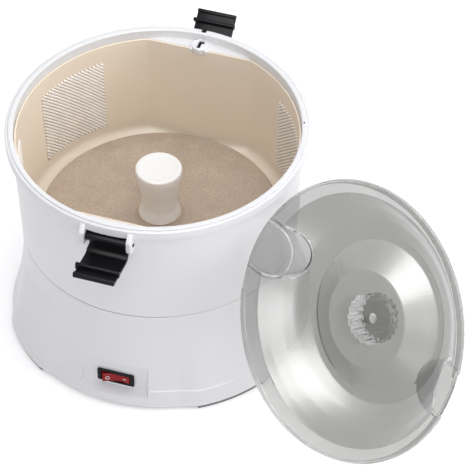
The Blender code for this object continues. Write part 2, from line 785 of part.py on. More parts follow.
def make_interlock(look):
    head_top = seat_height() + BOSS_RISE - INTERLOCK_HEAD_SINK
    head_bottom = head_top - INTERLOCK_HEAD_DEPTH
    switch_top = DECK_TOP + SEAT_GAP + INTERLOCK_SWITCH_SIZE[2]
    outline = stadium(INTERLOCK_HEAD_WIDTH, INTERLOCK_HEAD_LENGTH, SLOT_STEPS)
    piece = prism("interlock_rod", look["black"], outline, head_bottom, head_top)
    plunger_top = switch_top + INTERLOCK_TRAVEL + SEAT_GAP
    stem_bottom = plunger_top + SEAT_GAP
    stem_top = head_bottom + INTERLOCK_HEAD_DEPTH / 2
    stem = rod("guide_interlock_stem", None, INTERLOCK_STEM_RADIUS, stem_bottom, stem_top)
    piece.location = stem.location = (0, BOSS_DISTANCE, 0)
    combine(piece, stem, "UNION")
    width, depth, height = INTERLOCK_SWITCH_SIZE
    inner = min(BOSS_DISTANCE, switch_back_distance() - depth / 2) - depth / 2
    low = (-width / 2, inner, DECK_TOP + SEAT_GAP)
    high = (width / 2, inner + depth, switch_top)
    body = block("interlock_switch", look["black"], low, high)
    plunger_bottom = switch_top - PLUNGER_GRIP
    bore_bottom = plunger_bottom - INTERLOCK_TRAVEL - SEAT_GAP
    centre = (0, inner + depth / 2)
    bore_radius = PLUNGER_RADIUS + SEAT_GAP
    bore_top = switch_top + CUT_OVERRUN
    combine(body, rod("guide_plunger_bore", None, bore_radius, bore_bottom, bore_top, centre))
    plunger = rod("interlock_plunger", look["red"], PLUNGER_RADIUS, plunger_bottom, plunger_top)
    plunger.location = (*centre, 0)


def switch_back_distance():
    """How far out the interlock switch can reach inside the base's wall."""
    corner_radius = base_neck_inside() * cos(pi / BODY_STEPS) - SEAT_GAP
    return sqrt(corner_radius ** 2 - (INTERLOCK_SWITCH_SIZE[0] / 2) ** 2)


# Base


def base_neck_inside():
    return BASE_NECK_RADIUS - BASE_WALL


def base_outline(angle):
    seam = SEAM_HEIGHT - SEAT_GAP / 2
    above_panel = (SUNK_PANEL_TOP + LOBE_TOP) / 2
    levels = (
        BASE_EDGE_ROUND, SUNK_PANEL_BOTTOM - SUNK_PANEL_EDGE, SUNK_PANEL_BOTTOM,
        SUNK_PANEL_TOP, SUNK_PANEL_TOP + SUNK_PANEL_EDGE, above_panel, LOBE_TOP, BASE_FLARE_TOP,
    )
    outer = [(base_outside(angle, 0) - BASE_EDGE_ROUND, 0)]
    outer += [(base_outside(angle, level), level) for level in levels]
    outer.append((DRUM_FOOT_RADIUS, seam))
    neck = [(base_neck_inside(), seam), (base_neck_inside(), DECK_TOP)]
    underside = DECK_TOP - DECK_THICKNESS
    deck = [(0, DECK_TOP), (0, underside)]
    levels = (
        underside, SUNK_PANEL_TOP + BASE_WALL, SUNK_PANEL_TOP,
        SUNK_PANEL_BOTTOM, SUNK_PANEL_BOTTOM - BASE_WALL,
    )
    inner = [(base_outside(angle, level) - BASE_WALL, level) for level in levels]
    inner.append((base_outside(angle, 0) - BASE_EDGE_ROUND - BASE_WALL, 0))
    return outer + neck + deck + inner


def add_deck_details(base):
    """The ring under the liner and the boss that holds the upper bearing."""
    ring_top = LINER_FLOOR_TOP - LINER_FLOOR - SEAT_GAP
    ring_inner = SUPPORT_RING_RADIUS - SUPPORT_RING_WALL
    middle = DECK_TOP - DECK_THICKNESS / 2
    ring = (
        (ring_inner, middle), (SUPPORT_RING_RADIUS, middle),
        (SUPPORT_RING_RADIUS, ring_top), (ring_inner, ring_top),
    )
    turns = shifted_turn(ROUND_STEPS)
    combine(base, turned("guide_support_ring", None, lambda angle: ring, turns), "UNION")
    low, high = DECK_TOP - DECK_BOSS_DEPTH, DECK_TOP + BUSH_FLANGE
    boss = rod("guide_deck_boss", None, DECK_BOSS_RADIUS, low, high, steps=ROUND_STEPS)
    combine(base, boss, "UNION")
    low, high = low - CUT_OVERRUN, high + CUT_OVERRUN
    combine(base, rod("guide_deck_bore", None, BUSH_RADIUS + SEAT_GAP, low, high))


def post_places():
    spots = []
    for step in range(LOBE_COUNT):
        angle = tau * (step + 1 / 2) / LOBE_COUNT
        spots.append((WELL_CIRCLE_RADIUS * cos(angle), WELL_CIRCLE_RADIUS * sin(angle)))
    return spots


def make_base(look):
    corners = []
    for side, distance, width in sunk_panels():
        for reach in (width, width + 2 * SUNK_PANEL_EDGE):
            half = panel_half_angle(distance, reach)
            corners += [side * pi / 2 - half, side * pi / 2 + half]
    half = panel_half_angle(SWITCH_PANEL_DISTANCE, SWITCH_BEZEL[0] + 2 * SEAT_GAP)
    corners += [-pi / 2 - half, -pi / 2 + half]
    base = turned("base_shell", look["white"], base_outline, body_angles(corners))
    add_deck_details(base)
    post_low = WELL_HEIGHT + SEAT_GAP
    deck_middle = DECK_TOP - DECK_THICKNESS / 2
    for number, centre in enumerate(post_places()):
        post = rod("guide_post_%d" % number, None, POST_RADIUS, post_low, deck_middle, centre)
        combine(base, post, "UNION")
    bore_radius = SCREW_SHANK_RADIUS + SEAT_GAP
    bore_top = post_low + SCREW_GRIP + SEAT_GAP
    for number, centre in enumerate(post_places()):
        low = post_low - CUT_OVERRUN
        bore = rod("guide_post_bore_%d" % number, None, bore_radius, low, bore_top, centre)
        combine(base, bore)
    reach = CUT_OVERRUN
    bore = circle(GLAND_RADIUS + SEAT_GAP, SMALL_STEPS)
    low = INLET_PANEL_DISTANCE - BASE_WALL - reach
    high = INLET_PANEL_DISTANCE + reach
    combine(base, prism("guide_inlet_hole", None, bore, low, high, inlet_place()))
    width, height, depth = SWITCH_BODY
    middle = switch_centre_height()
    low = (-width / 2 - SEAT_GAP, -SWITCH_PANEL_DISTANCE - reach, middle - height / 2 - SEAT_GAP)
    inside = -SWITCH_PANEL_DISTANCE + BASE_WALL + reach
    high = (width / 2 + SEAT_GAP, inside, middle + height / 2 + SEAT_GAP)
    combine(base, block("guide_switch_hole", None, low, high))
    return base


def inlet_place():
    """Carries a shape turned round Z to the cord inlet, pointing to the rear."""
    return Matrix.Translation((0, 0, INLET_HEIGHT)) @ Matrix.Rotation(-pi / 2, 4, "X")


def make_cord_gland(look):
    outer_face = INLET_PANEL_DISTANCE + SEAT_GAP
    outline = (
        (GLAND_BORE_RADIUS, outer_face - GLAND_LENGTH),
        (GLAND_RADIUS, outer_face - GLAND_LENGTH),
        (GLAND_RADIUS, outer_face),
        (GLAND_FLANGE_RADIUS, outer_face),
        (GLAND_FLANGE_RADIUS, outer_face + GLAND_FLANGE / 2),
        (GLAND_RADIUS, outer_face + GLAND_FLANGE),
        (GLAND_BORE_RADIUS, outer_face + GLAND_FLANGE),
    )
    gland = turned_plain("cord_gland", look["black"], outline, SMALL_STEPS)
    gland.matrix_world = inlet_place()


def make_cover(look):
    inner_foot = BASE_FOOT_RADIUS - BASE_EDGE_ROUND - BASE_WALL
    radius = inner_foot - COVER_MARGIN
    cover = rod("bottom_cover", look["white"], radius, 0, COVER_THICKNESS, (0, 0), BODY_STEPS)
    middle = COVER_THICKNESS / 2
    boss_top = CHASSIS_BOTTOM - SEAT_GAP
    for number, centre in enumerate(post_places()):
        well = rod("guide_well_%d" % number, None, WELL_RADIUS, middle, WELL_HEIGHT, centre)
        combine(cover, well, "UNION")
    for number, centre in enumerate(chassis_fixings()):
        boss = rod("guide_cover_boss_%d" % number, None, CHASSIS_BOSS_RADIUS, middle, boss_top, centre)
        combine(cover, boss, "UNION")
    hole = SCREW_SHANK_RADIUS + SEAT_GAP
    roof = WELL_HEIGHT - WELL_ROOF
    for number, centre in enumerate(post_places()):
        bore = rod("guide_well_bore_%d" % number, None, WELL_BORE_RADIUS, -CUT_OVERRUN, roof, centre)
        combine(cover, bore)
        high = WELL_HEIGHT + CUT_OVERRUN
        combine(cover, rod("guide_well_hole_%d" % number, None, hole, middle, high, centre))
        head_top = roof - SEAT_GAP
        screw("cover_screw_%d" % (number + 1), look["steel"], centre, head_top, SCREW_GRIP + WELL_ROOF)
    for number, centre in enumerate(chassis_fixings()):
        low = boss_top - SCREW_GRIP - SEAT_GAP
        high = boss_top + CUT_OVERRUN
        combine(cover, rod("guide_cover_boss_bore_%d" % number, None, hole, low, high, centre))


def screw(name, material, centre, head_face, length, upward=1):
    """A pan-head screw; its head ends at head_face and its shank goes on from there."""
    outline = (
        (0, -SCREW_HEAD_HEIGHT),
        (SCREW_HEAD_RADIUS * 2 / 3, -SCREW_HEAD_HEIGHT),
        (SCREW_HEAD_RADIUS, -SCREW_HEAD_HEIGHT / 2),
        (SCREW_HEAD_RADIUS, 0),
        (SCREW_SHANK_RADIUS, 0),
        (SCREW_SHANK_RADIUS, length - SCREW_SHANK_RADIUS),
        (0, length),
    )
    placed = [(radius, head_face + upward * along) for radius, along in outline]
    made = turned_plain(name, material, placed, SCREW_STEPS)
    made.location = (centre[0], centre[1], 0)
    return made


def make_feet(look):
    steps = 6
    for number in range(LOBE_COUNT):
        centre = tau * (number + 1 / 2) / LOBE_COUNT
        half = radians(FOOT_HALF_ANGLE)
        turns = [centre + half * (2 * k / steps - 1) for k in range(steps + 1)]
        outer = base_outside(centre, 0) - BASE_EDGE_ROUND
        outline = [(outer * cos(a), outer * sin(a)) for a in turns]
        inner = outer - FOOT_WIDTH
        outline += [(inner * cos(a), inner * sin(a)) for a in reversed(turns)]
        prism("foot_%d" % (number + 1), look["rubber"], outline, -FOOT_HEIGHT, -SEAT_GAP)


# Switch


def switch_centre_height():
    return (SUNK_PANEL_BOTTOM + SUNK_PANEL_TOP) / 2 - SWITCH_DROP


def make_switch(look):
    middle = switch_centre_height()
    face = -SWITCH_PANEL_DISTANCE
    width, height, thickness = SWITCH_BEZEL
    low = (-width / 2, face - SEAT_GAP - thickness, middle - height / 2)
    high = (width / 2, face - SEAT_GAP, middle + height / 2)
    housing = block("switch_housing", look["black"], low, high)
    width, height, depth = SWITCH_BODY
    low = (-width / 2, face - SEAT_GAP - thickness / 2, middle - height / 2)
    high = (width / 2, face + depth, middle + height / 2)
    combine(housing, block("guide_switch_body", None, low, high), "UNION")
    width, height = SWITCH_WINDOW
    low = (-width / 2, face - CUT_OVERRUN - thickness, middle - height / 2)
    high = (width / 2, face + ROCKER_WELL, middle + height / 2)
    combine(housing, block("guide_switch_window", None, low, high))
    reach = SWITCH_WINDOW[0] / 2 - ROCKER_GAP
    end = sqrt(reach ** 2 - ROCKER_END_RISE ** 2)
    between = sqrt(reach ** 2 - (ROCKER_END_RISE / 2) ** 2)
    tall = SWITCH_WINDOW[1] - 2 * ROCKER_GAP
    outline = (
        (-reach, 0),
        (-between, -ROCKER_END_RISE / 2),
        (-end, -ROCKER_END_RISE),
        (0, -ROCKER_MIDDLE_RISE),
        (end, -ROCKER_END_RISE),
        (between, -ROCKER_END_RISE / 2),
        (reach, 0),
        (reach * 2 / 3, ROCKER_BACK),
        (-reach * 2 / 3, ROCKER_BACK),
    )
    rocker = prism("switch_rocker", look["red"], outline, -tall / 2, tall / 2)
    rocker.location = (0, face + ROCKER_PIVOT_DEPTH, middle)
    rocker.rotation_euler = (0, 0, radians(ROCKER_TILT_ANGLE))


# Drive inside the base


def chassis_fixings():
    x = CHASSIS_LENGTH / 2 - CHASSIS_BOSS_INSET
    y = CHASSIS_WIDTH / 2 - CHASSIS_BOSS_INSET
    return ((x, y), (-x, y), (-x, -y), (x, -y))


def make_chassis(look):
    half = (CHASSIS_LENGTH / 2, CHASSIS_WIDTH / 2)
    top = CHASSIS_BOTTOM + CHASSIS_THICKNESS
    low = (-half[0], -half[1], CHASSIS_BOTTOM)
    plate = block("chassis_plate", look["zinc"], low, (half[0], half[1], top))
    holes = [(BUSH_RADIUS + SEAT_GAP, (0, 0)), (PULLEY_HUB_RADIUS, (-MOTOR_DISTANCE, 0))]
    holes += [(SCREW_SHANK_RADIUS + SEAT_GAP, spot) for spot in chassis_fixings()]
    for number, (radius, centre) in enumerate(holes):
        below, above = CHASSIS_BOTTOM - CUT_OVERRUN, top + CUT_OVERRUN
        combine(plate, rod("guide_chassis_hole_%d" % number, None, radius, below, above, centre))
    for number, centre in enumerate(chassis_fixings()):
        face = top + SEAT_GAP
        length = SCREW_GRIP + CHASSIS_THICKNESS
        screw("chassis_screw_%d" % (number + 1), look["steel"], centre, face, length, -1)


def bush_outline(flange_bottom, body_bottom):
    bore = SPINDLE_RADIUS + SEAT_GAP
    top = flange_bottom + BUSH_FLANGE
    return (
        (bore, body_bottom), (BUSH_RADIUS, body_bottom), (BUSH_RADIUS, flange_bottom),
        (BUSH_FLANGE_RADIUS, flange_bottom), (BUSH_FLANGE_RADIUS, top), (bore, top),
    )


def make_bearings(look):
    flange = DECK_TOP + BUSH_FLANGE + SEAT_GAP
    outline = bush_outline(flange, DECK_TOP - DECK_BOSS_DEPTH)
    turned_plain("upper_bearing", look["bronze"], outline, SMALL_STEPS)
    flange = CHASSIS_BOTTOM + CHASSIS_THICKNESS + SEAT_GAP
    outline = bush_outline(flange, CHASSIS_BOTTOM - BUSH_FLANGE / 2)
    turned_plain("lower_bearing", look["bronze"], outline, SMALL_STEPS)
    bottom = LINER_FLOOR_TOP - LINER_FLOOR / 2 + SEAT_GAP
    outer = LINER_COLLAR_RADIUS - LINER_COLLAR_WALL - SEAT_GAP
    inner = SPINDLE_RADIUS + SEAT_GAP
    outline = (
        (inner, bottom + SEAL_HEIGHT / 3), (inner + SEAL_HEIGHT / 3, bottom), (outer, bottom),
        (outer, bottom + SEAL_HEIGHT - SEAT_GAP), (inner, bottom + SEAL_HEIGHT - SEAT_GAP),
    )
    turned_plain("shaft_seal", look["rubber"], outline, SMALL_STEPS)


def disc_radius():
    """The disc's rim runs a little inside the liner's flats, where the wall bends inward."""
    corner_top = LINER_FLOOR_TOP + LINER_CORNER
    bend = LINER_CORNER * (1 - sqrt(1 / 2))
    below = max(0, corner_top - DISC_UNDERSIDE - DISC_THICKNESS / 2)
    wall = liner_inside(corner_top) - liner_flat_inset() - bend * below / (LINER_CORNER - bend)
    return wall - DISC_RIM_GAP


def disc_boss_top():
    return DISC_UNDERSIDE + DISC_BOSS_HEIGHT


def make_spindle(look):
    shoulder_top = DISC_UNDERSIDE - SEAT_GAP
    shoulder_bottom = shoulder_top - SPINDLE_SHOULDER_HEIGHT
    thread_top = HUB_TOP - HUB_ROOF - RUNNING_GAP
    outline = (
        (0, thread_top),
        (SPINDLE_THREAD_RADIUS, thread_top),
        (SPINDLE_THREAD_RADIUS, disc_boss_top()),
        (SPINDLE_RADIUS, disc_boss_top()),
        (SPINDLE_RADIUS, shoulder_top),
        (SPINDLE_SHOULDER_RADIUS, shoulder_top),
        (SPINDLE_SHOULDER_RADIUS, shoulder_bottom),
        (SPINDLE_RADIUS, shoulder_bottom),
        (SPINDLE_RADIUS, SPINDLE_BOTTOM),
        (0, SPINDLE_BOTTOM),
    )
    turned_plain("spindle", look["steel"], outline, SMALL_STEPS)


def disc_outline(angle):
    """A flat disc whose upper face swells into ramps that toss what lies on it."""
    wave = DISC_RAMP_HEIGHT * ramp(max(0.0, cos(DISC_RAMPS * angle)))
    top = DISC_UNDERSIDE + DISC_THICKNESS
    bore = SPINDLE_RADIUS + SEAT_GAP
    rim = disc_radius()
    span = rim - DISC_BOSS_RADIUS
    inner_ramp, outer_ramp = DISC_BOSS_RADIUS + span / 5, rim - span / 5
    return (
        (bore, disc_boss_top()),
        (DISC_BOSS_RADIUS - DISC_THICKNESS, disc_boss_top()),
        (DISC_BOSS_RADIUS, top),
        (inner_ramp, top + wave),
        (outer_ramp, top + wave),
        (rim - DISC_THICKNESS / 2, top),
        (rim, DISC_UNDERSIDE + DISC_THICKNESS / 2),
        (rim - DISC_THICKNESS / 2, DISC_UNDERSIDE),
        (bore, DISC_UNDERSIDE),
    )


def make_disc_and_hub(look):
    turned("peeling_disc", look["disc"], disc_outline, full_turn(DISC_STEPS))
    bottom = disc_boss_top() + SEAT_GAP
    bore = SPINDLE_THREAD_RADIUS + SEAT_GAP
    height = HUB_TOP - bottom
    outline = (
        (0, HUB_TOP),
        (HUB_RADIUS - HUB_ROUND, HUB_TOP),
        (HUB_RADIUS - HUB_ROUND / 3, HUB_TOP - HUB_ROUND / 3),
        (HUB_RADIUS, HUB_TOP - HUB_ROUND),
        (HUB_RADIUS, HUB_TOP - HUB_ROUND * 3),
        (HUB_WAIST_RADIUS, bottom + height * 2 / 5),
        (HUB_WAIST_RADIUS, bottom + height / 5),
        (HUB_FOOT_RADIUS, bottom),
        (bore, bottom),
        (bore, HUB_TOP - HUB_ROOF),
        (0, HUB_TOP - HUB_ROOF),
    )
    turned_plain("hub_cap", look["hub"], outline, ROUND_STEPS)


def pulley_outline(radius, bore, hub_top):
    top = PULLEY_BOTTOM + PULLEY_HEIGHT
    flange = radius + PULLEY_FLANGE_RISE
    web_top = PULLEY_BOTTOM + PULLEY_WEB
    rim_inner = radius - PULLEY_RIM
    points = [
        (bore, PULLEY_BOTTOM),
        (flange, PULLEY_BOTTOM),
        (flange, PULLEY_BOTTOM + PULLEY_FLANGE / 2),
        (radius, PULLEY_BOTTOM + PULLEY_FLANGE),
        (radius, top - PULLEY_FLANGE),
        (flange, top - PULLEY_FLANGE / 2),
        (flange, top),
    ]
    if rim_inner > PULLEY_HUB_RADIUS:
        points += [(rim_inner, top), (rim_inner, web_top)]
        points += [(PULLEY_HUB_RADIUS, web_top), (PULLEY_HUB_RADIUS, hub_top)]
    points.append((bore, hub_top))
    return points


def make_drive(look):
    to_motor = (-MOTOR_DISTANCE, 0, 0)
    hub_top = CHASSIS_BOTTOM - BUSH_FLANGE / 2 - SEAT_GAP
    bore = SPINDLE_RADIUS + SEAT_GAP
    outline = pulley_outline(SPINDLE_PULLEY_RADIUS, bore, hub_top)
    turned_plain("spindle_pulley", look["black"], outline, ROUND_STEPS)
    bore = MOTOR_SHAFT_RADIUS + SEAT_GAP
    outline = pulley_outline(MOTOR_PULLEY_RADIUS, bore, PULLEY_BOTTOM + PULLEY_HEIGHT)
    pulley = turned_plain("motor_pulley", look["zinc"], outline, SMALL_STEPS)
    pulley.location = to_motor
    can_bottom = CHASSIS_BOTTOM + CHASSIS_THICKNESS + SEAT_GAP
    can_top = can_bottom + MOTOR_HEIGHT
    outline = (
        (bore, can_bottom), (MOTOR_RADIUS, can_bottom), (MOTOR_RADIUS, can_top), (bore, can_top),
    )
    can = turned_plain("motor_can", look["zinc"], outline, ROUND_STEPS)
    can.location = to_motor
    cap_bottom = can_top + SEAT_GAP
    cap_top = cap_bottom + MOTOR_CAP_HEIGHT
    outline = (
        (0, cap_bottom), (MOTOR_RADIUS, cap_bottom), (MOTOR_RADIUS, cap_top - MOTOR_CAP_ROUND),
        (MOTOR_RADIUS - MOTOR_CAP_ROUND, cap_top), (0, cap_top),
    )
    cap = turned_plain("motor_end_cap", look["black"], outline, ROUND_STEPS)
    cap.location = to_motor
    shaft_top = can_top - MOTOR_SHAFT_INSET
    shaft = rod("motor_shaft", look["steel"], MOTOR_SHAFT_RADIUS, PULLEY_BOTTOM, shaft_top)
    shaft.location = to_motor
    make_belt(look)


def belt_outline(spare):
    """The loop round both pulleys at a distance from their grooves."""
    large = SPINDLE_PULLEY_RADIUS + spare
    small = MOTOR_PULLEY_RADIUS + spare
    wrap = acos((large - small) / MOTOR_DISTANCE)
    large_steps, small_steps = 24, 8
    points = []
    for step in range(large_steps + 1):
        angle = -(pi - wrap) + 2 * (pi - wrap) * step / large_steps
        points.append((large * cos(angle), large * sin(angle)))
    for step in range(small_steps + 1):
        angle = (pi - wrap) + 2 * wrap * step / small_steps
        points.append((-MOTOR_DISTANCE + small * cos(angle), small * sin(angle)))
    return points


def make_belt(look):
    low = PULLEY_BOTTOM + PULLEY_FLANGE + SEAT_GAP
    high = PULLEY_BOTTOM + PULLEY_HEIGHT - PULLEY_FLANGE - SEAT_GAP
    loops = [belt_outline(SEAT_GAP), belt_outline(SEAT_GAP + BELT_THICKNESS)]
    builder = bmesh.new()
    rings = []
    for outline, height in ((loops[0], low), (loops[1], low), (loops[1], high), (loops[0], high)):
        rings.append([builder.verts.new((x, y, height)) for x, y in outline])
    for here, following in zip(rings, rings[1:] + rings[:1]):
        for first in range(len(here)):
            second = (first + 1) % len(here)
            builder.faces.new((here[first], here[second], following[second], following[first]))
    finish_mesh("drive_belt", builder, look["rubber"])


# Lid


def lid_surface(thickness):
    """The lid's outside, or its inside at a wall's thickness below: radius, height."""
    shoulder = LID_SKIRT_HEIGHT + LID_SHOULDER_RISE
    rise = LID_RIDGE_HEIGHT - shoulder
    width = LID_SHOULDER_RADIUS - LID_RIDGE_OUTER_RADIUS
    ridge_drop = LID_RIDGE_HEIGHT - LID_DISH_HEIGHT
    funnel = LID_RIDGE_INNER_RADIUS - LID_DISH_RADIUS
    edge_round = LID_WALL / 2
    dome = [(LID_RADIUS - edge_round, LID_SKIRT_HEIGHT)]
    dome.append((LID_SHOULDER_RADIUS + edge_round, shoulder - edge_round))
    for across, up in LID_DOME_SHARES:
        dome.append((LID_SHOULDER_RADIUS - width * across, shoulder + rise * up))
    dome.append((LID_RIDGE_OUTER_RADIUS, LID_RIDGE_HEIGHT))
    dome.append((LID_RIDGE_INNER_RADIUS, LID_RIDGE_HEIGHT))
    across, down = LID_FUNNEL_SHARES
    place = LID_RIDGE_INNER_RADIUS - funnel * across
    dome.append((place, LID_RIDGE_HEIGHT - ridge_drop * down))
    dome.append((LID_DISH_RADIUS, LID_DISH_HEIGHT))
    if not thickness:
        return dome
    lowered = [(radius, height - thickness) for radius, height in dome[1:]]
    return [(LID_SKIRT_FOOT_RADIUS - thickness, LID_SKIRT_HEIGHT - thickness)] + lowered


def pocket_prism(name, grow, floor, place):
    """A finger pocket open towards the lid's edge, D-shaped seen from above."""
    radius = LID_POCKET_RADIUS + grow
    outline = [(radius, LID_RADIUS + CUT_OVERRUN), (-radius, LID_RADIUS + CUT_OVERRUN)]
    steps = 10
    for step in range(steps + 1):
        angle = pi + pi * step / steps
        outline.append((radius * cos(angle), LID_POCKET_CENTRE + radius * sin(angle)))
    high = LID_RIDGE_HEIGHT + CUT_OVERRUN
    return prism(name, None, outline, floor, high, place)


def make_lid(look):
    place = lid_place()
    top = list(lid_surface(0))
    outline = [(0, 0), (LID_SKIRT_FOOT_RADIUS, 0), (LID_RADIUS, LID_SKIRT_HEIGHT - LID_WALL / 2)]
    outline += top + [(0, LID_DISH_HEIGHT)]
    lid = turned_plain("lid", look["clear"], outline, LID_STEPS)
    lid.matrix_world = place
    under = list(lid_surface(LID_WALL))
    hollow = [(0, -CUT_OVERRUN), (LID_SKIRT_FOOT_RADIUS - LID_WALL, -CUT_OVERRUN)] + under
    hollow.append((0, LID_DISH_HEIGHT - LID_WALL))
    inside = turned_plain("guide_lid_hollow", None, hollow, LID_STEPS)
    inside.matrix_world = place
    for number in (0, 1):
        turn = Matrix.Rotation(pi * number, 4, "Z")
        room = pocket_prism("guide_pocket_wall_%d" % number, LID_WALL, LID_POCKET_FLOOR - LID_WALL, turn)
        room.matrix_world = place
        combine(inside, room)
        pocket = pocket_prism("guide_pocket_%d" % number, 0, LID_POCKET_FLOOR, turn)
        pocket.matrix_world = place
        combine(lid, pocket)
    combine(lid, inside)
    hole_radius = KNOB_STEM_RADIUS + SEAT_GAP
    low = LID_DISH_HEIGHT - LID_WALL - CUT_OVERRUN
    hole = rod("guide_knob_hole", None, hole_radius, low, LID_DISH_HEIGHT + CUT_OVERRUN)
    hole.matrix_world = place
    combine(lid, hole)
    for number, width in enumerate(LID_RELIEF_WIDTHS):
        inner = sqrt((LID_SKIRT_FOOT_RADIUS - LID_WALL) ** 2 - (width / 2) ** 2) - CUT_OVERRUN
        low = (-width / 2, inner, -CUT_OVERRUN)
        high = (width / 2, LID_RADIUS + CUT_OVERRUN, LID_RELIEF_DEPTH)
        relief = block("guide_edge_relief_%d" % number, None, low, high)
        relief.matrix_world = place @ Matrix.Rotation(pi * number, 4, "Z")
        combine(lid, relief)
    make_knob(look, place)


def make_knob(look, place):
    """A fluted turned knob with a stem that passes through the lid."""
    bottom = LID_DISH_HEIGHT + SEAT_GAP
    steps = KNOB_FLUTES * 2

    def outline_at(angle):
        flute = KNOB_FLUTE_DEPTH * (1 + cos(KNOB_FLUTES * angle)) / 2
        return (
            (0, KNOB_TOP_HEIGHT),
            (KNOB_TOP_RADIUS - KNOB_EDGE - KNOB_FLUTE_DEPTH, KNOB_TOP_HEIGHT),
            (KNOB_TOP_RADIUS - flute, KNOB_TOP_HEIGHT - KNOB_EDGE),
            (KNOB_RADIUS - flute, bottom),
            (KNOB_STEM_RADIUS, bottom),
            (KNOB_STEM_RADIUS, bottom - KNOB_STEM_LENGTH),
            (0, bottom - KNOB_STEM_LENGTH),
        )

    knob = turned("lid_knob", look["clear"], outline_at, full_turn(steps))
    knob.matrix_world = place


def lid_axes():
    """Outward direction of the leaning lid, its steepest way up, and its level sideways way."""
    azimuth, elevation = radians(LID_FACE_TURN_ANGLE), radians(LID_FACE_RISE_ANGLE)
    ahead = Vector((cos(azimuth), sin(azimuth), 0))
    outward = ahead * cos(elevation) + Vector((0, 0, 1)) * sin(elevation)
    uphill = -ahead * sin(elevation) + Vector((0, 0, 1)) * cos(elevation)
    return ahead, outward, uphill, uphill.cross(outward)


def lid_gap(centre):
    """Least distance from the lid's rear edge to the drum's wall."""
    ahead, outward, uphill, sideways = lid_axes()
    gaps = []
    for angle in full_turn(LID_STEPS * 4):
        point = centre + (uphill * cos(angle) + sideways * sin(angle)) * LID_SKIRT_FOOT_RADIUS
        gaps.append(hypot(point.x, point.y) - drum_outside(point.z))
    return min(gaps)


def lid_place():
    """The lid stands on the floor and leans with its upper edge against the drum."""
    ahead, outward, uphill, sideways = lid_axes()
    floor = SEAT_GAP - FOOT_HEIGHT
    height = floor + LID_SKIRT_FOOT_RADIUS * uphill.z
    side = Vector((-ahead.y, ahead.x, 0)) * LID_SIDE_SHIFT
    near, far = DRUM_TOP_RADIUS, DRUM_TOP_RADIUS + 2 * LID_RADIUS
    for halving in range(40):
        middle = (near + far) / 2
        centre = ahead * middle + side + Vector((0, 0, height))
        if lid_gap(centre) > SEAT_GAP:
            far = middle
        else:
            near = middle
    centre = ahead * far + side + Vector((0, 0, height))
    turn = radians(LID_POCKET_AXIS_ANGLE)
    pocket_way = uphill * cos(turn) + sideways * sin(turn)
    across = pocket_way.cross(outward)
    axes = Matrix((across, pocket_way, outward)).transposed().to_4x4()
    return Matrix.Translation(centre) @ axes


def main():
    clear_scene()
    look = make_materials()
    make_drum(look)
    make_rim_stop(look)
    make_liner(look)
    for number, centre in enumerate(PANEL_CENTRE_ANGLES):
        make_abrasive_panel(number + 1, centre, look)
    for latch in LATCH_TURN_ANGLES:
        make_clip(latch, look)
    make_interlock(look)
    make_base(look)
    make_cord_gland(look)
    make_cover(look)
    make_feet(look)
    make_switch(look)
    make_chassis(look)
    make_bearings(look)
    make_spindle(look)
    make_disc_and_hub(look)
    make_drive(look)
    make_lid(look)


main()
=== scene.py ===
"""Looks of the electric potato peeler. Lengths are in millimetres until a mesh is finished."""
from math import acos, asin, atan2, cos, degrees, hypot, pi, radians, sin, sqrt, tan, tau

import bmesh
import bpy
from mathutils import Matrix, Vector


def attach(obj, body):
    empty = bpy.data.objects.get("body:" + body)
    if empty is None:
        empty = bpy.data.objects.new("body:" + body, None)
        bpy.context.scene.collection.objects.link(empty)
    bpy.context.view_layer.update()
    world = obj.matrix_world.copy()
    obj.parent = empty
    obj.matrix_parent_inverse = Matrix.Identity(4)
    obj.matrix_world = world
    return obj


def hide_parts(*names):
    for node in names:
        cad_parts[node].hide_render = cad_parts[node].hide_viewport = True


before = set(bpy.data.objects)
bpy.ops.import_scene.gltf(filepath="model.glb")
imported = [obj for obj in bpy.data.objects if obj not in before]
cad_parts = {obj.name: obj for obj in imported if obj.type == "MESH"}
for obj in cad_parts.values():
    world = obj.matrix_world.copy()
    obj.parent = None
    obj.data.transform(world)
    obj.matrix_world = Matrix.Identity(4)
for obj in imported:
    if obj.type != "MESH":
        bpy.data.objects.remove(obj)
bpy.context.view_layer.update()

MM = 0.001
GAP = 0.3

# Steps round a turned piece or along an arc
FINE_STEPS = 360
LID_TURNS = 288
ROUND_TURNS = 96
NOTCH_TURNS = 64
SMALL_TURNS = 48
SHELF_STEPS = 40
POCKET_STEPS = 36
FOOT_STEPS = 28
DOT_TURNS = 24
FLUTE_STEPS = 14
RING_STEPS = 12
ARC_STEPS = 5

# Angles in degrees over which an edge is shaded sharp, or rounded on a prism
SHARP_ANGLE = 32
BEVEL_ANGLE = 35
BEVEL_SEGMENTS = 3

# Outlines below list (across, up) or (across, up, corner radius); boxes (width, height, radius)

# Drum
RIM_R, RIM_TOP, FLANGE_Z = 120.0, 194.0, 185.0
CROWN_R, BAND_TOP = 117.2, 193.1
STEP_OUT, STEP_FOOT, STEP_IN, STEP_DEPTH = 0.9, 0.75, 0.15, 0.6
DRUM_TOP_R, DRUM_FOOT_R, DRUM_WALL = 115.0, 111.5, 1.8
SEAM_Z, SEAM_LINE = 91.3, 0.9
SEAT_Z, SHELF_THICKNESS, SHELF_ROUND = 186.0, 2.0, 0.25
LEDGE_BACK, LEDGE_DROP, LEDGE_RISE = 2.2, 0.4, 0.35
EAR = (
    (113.0, 170.5), (115.6, 170.9, 1.5), (124.4, 174.2, 5.1), (124.4, 185.4, 2.4),
    (119.8, 191.0, 1.0), (118.6, 191.0), (113.0, 186.0),
)
EAR_NEAR, EAR_FAR, EAR_ROUND, EAR_STEPS = 16.9, 20.9, 0.5, 8
RIM_MARK = ((0, 193.6), (0.75, 193.6), (0.75, 194.25, 0.2), (0, 194.25))
RIM_MARK_R, RIM_MARK_ANGLE = 115.0, 18.5

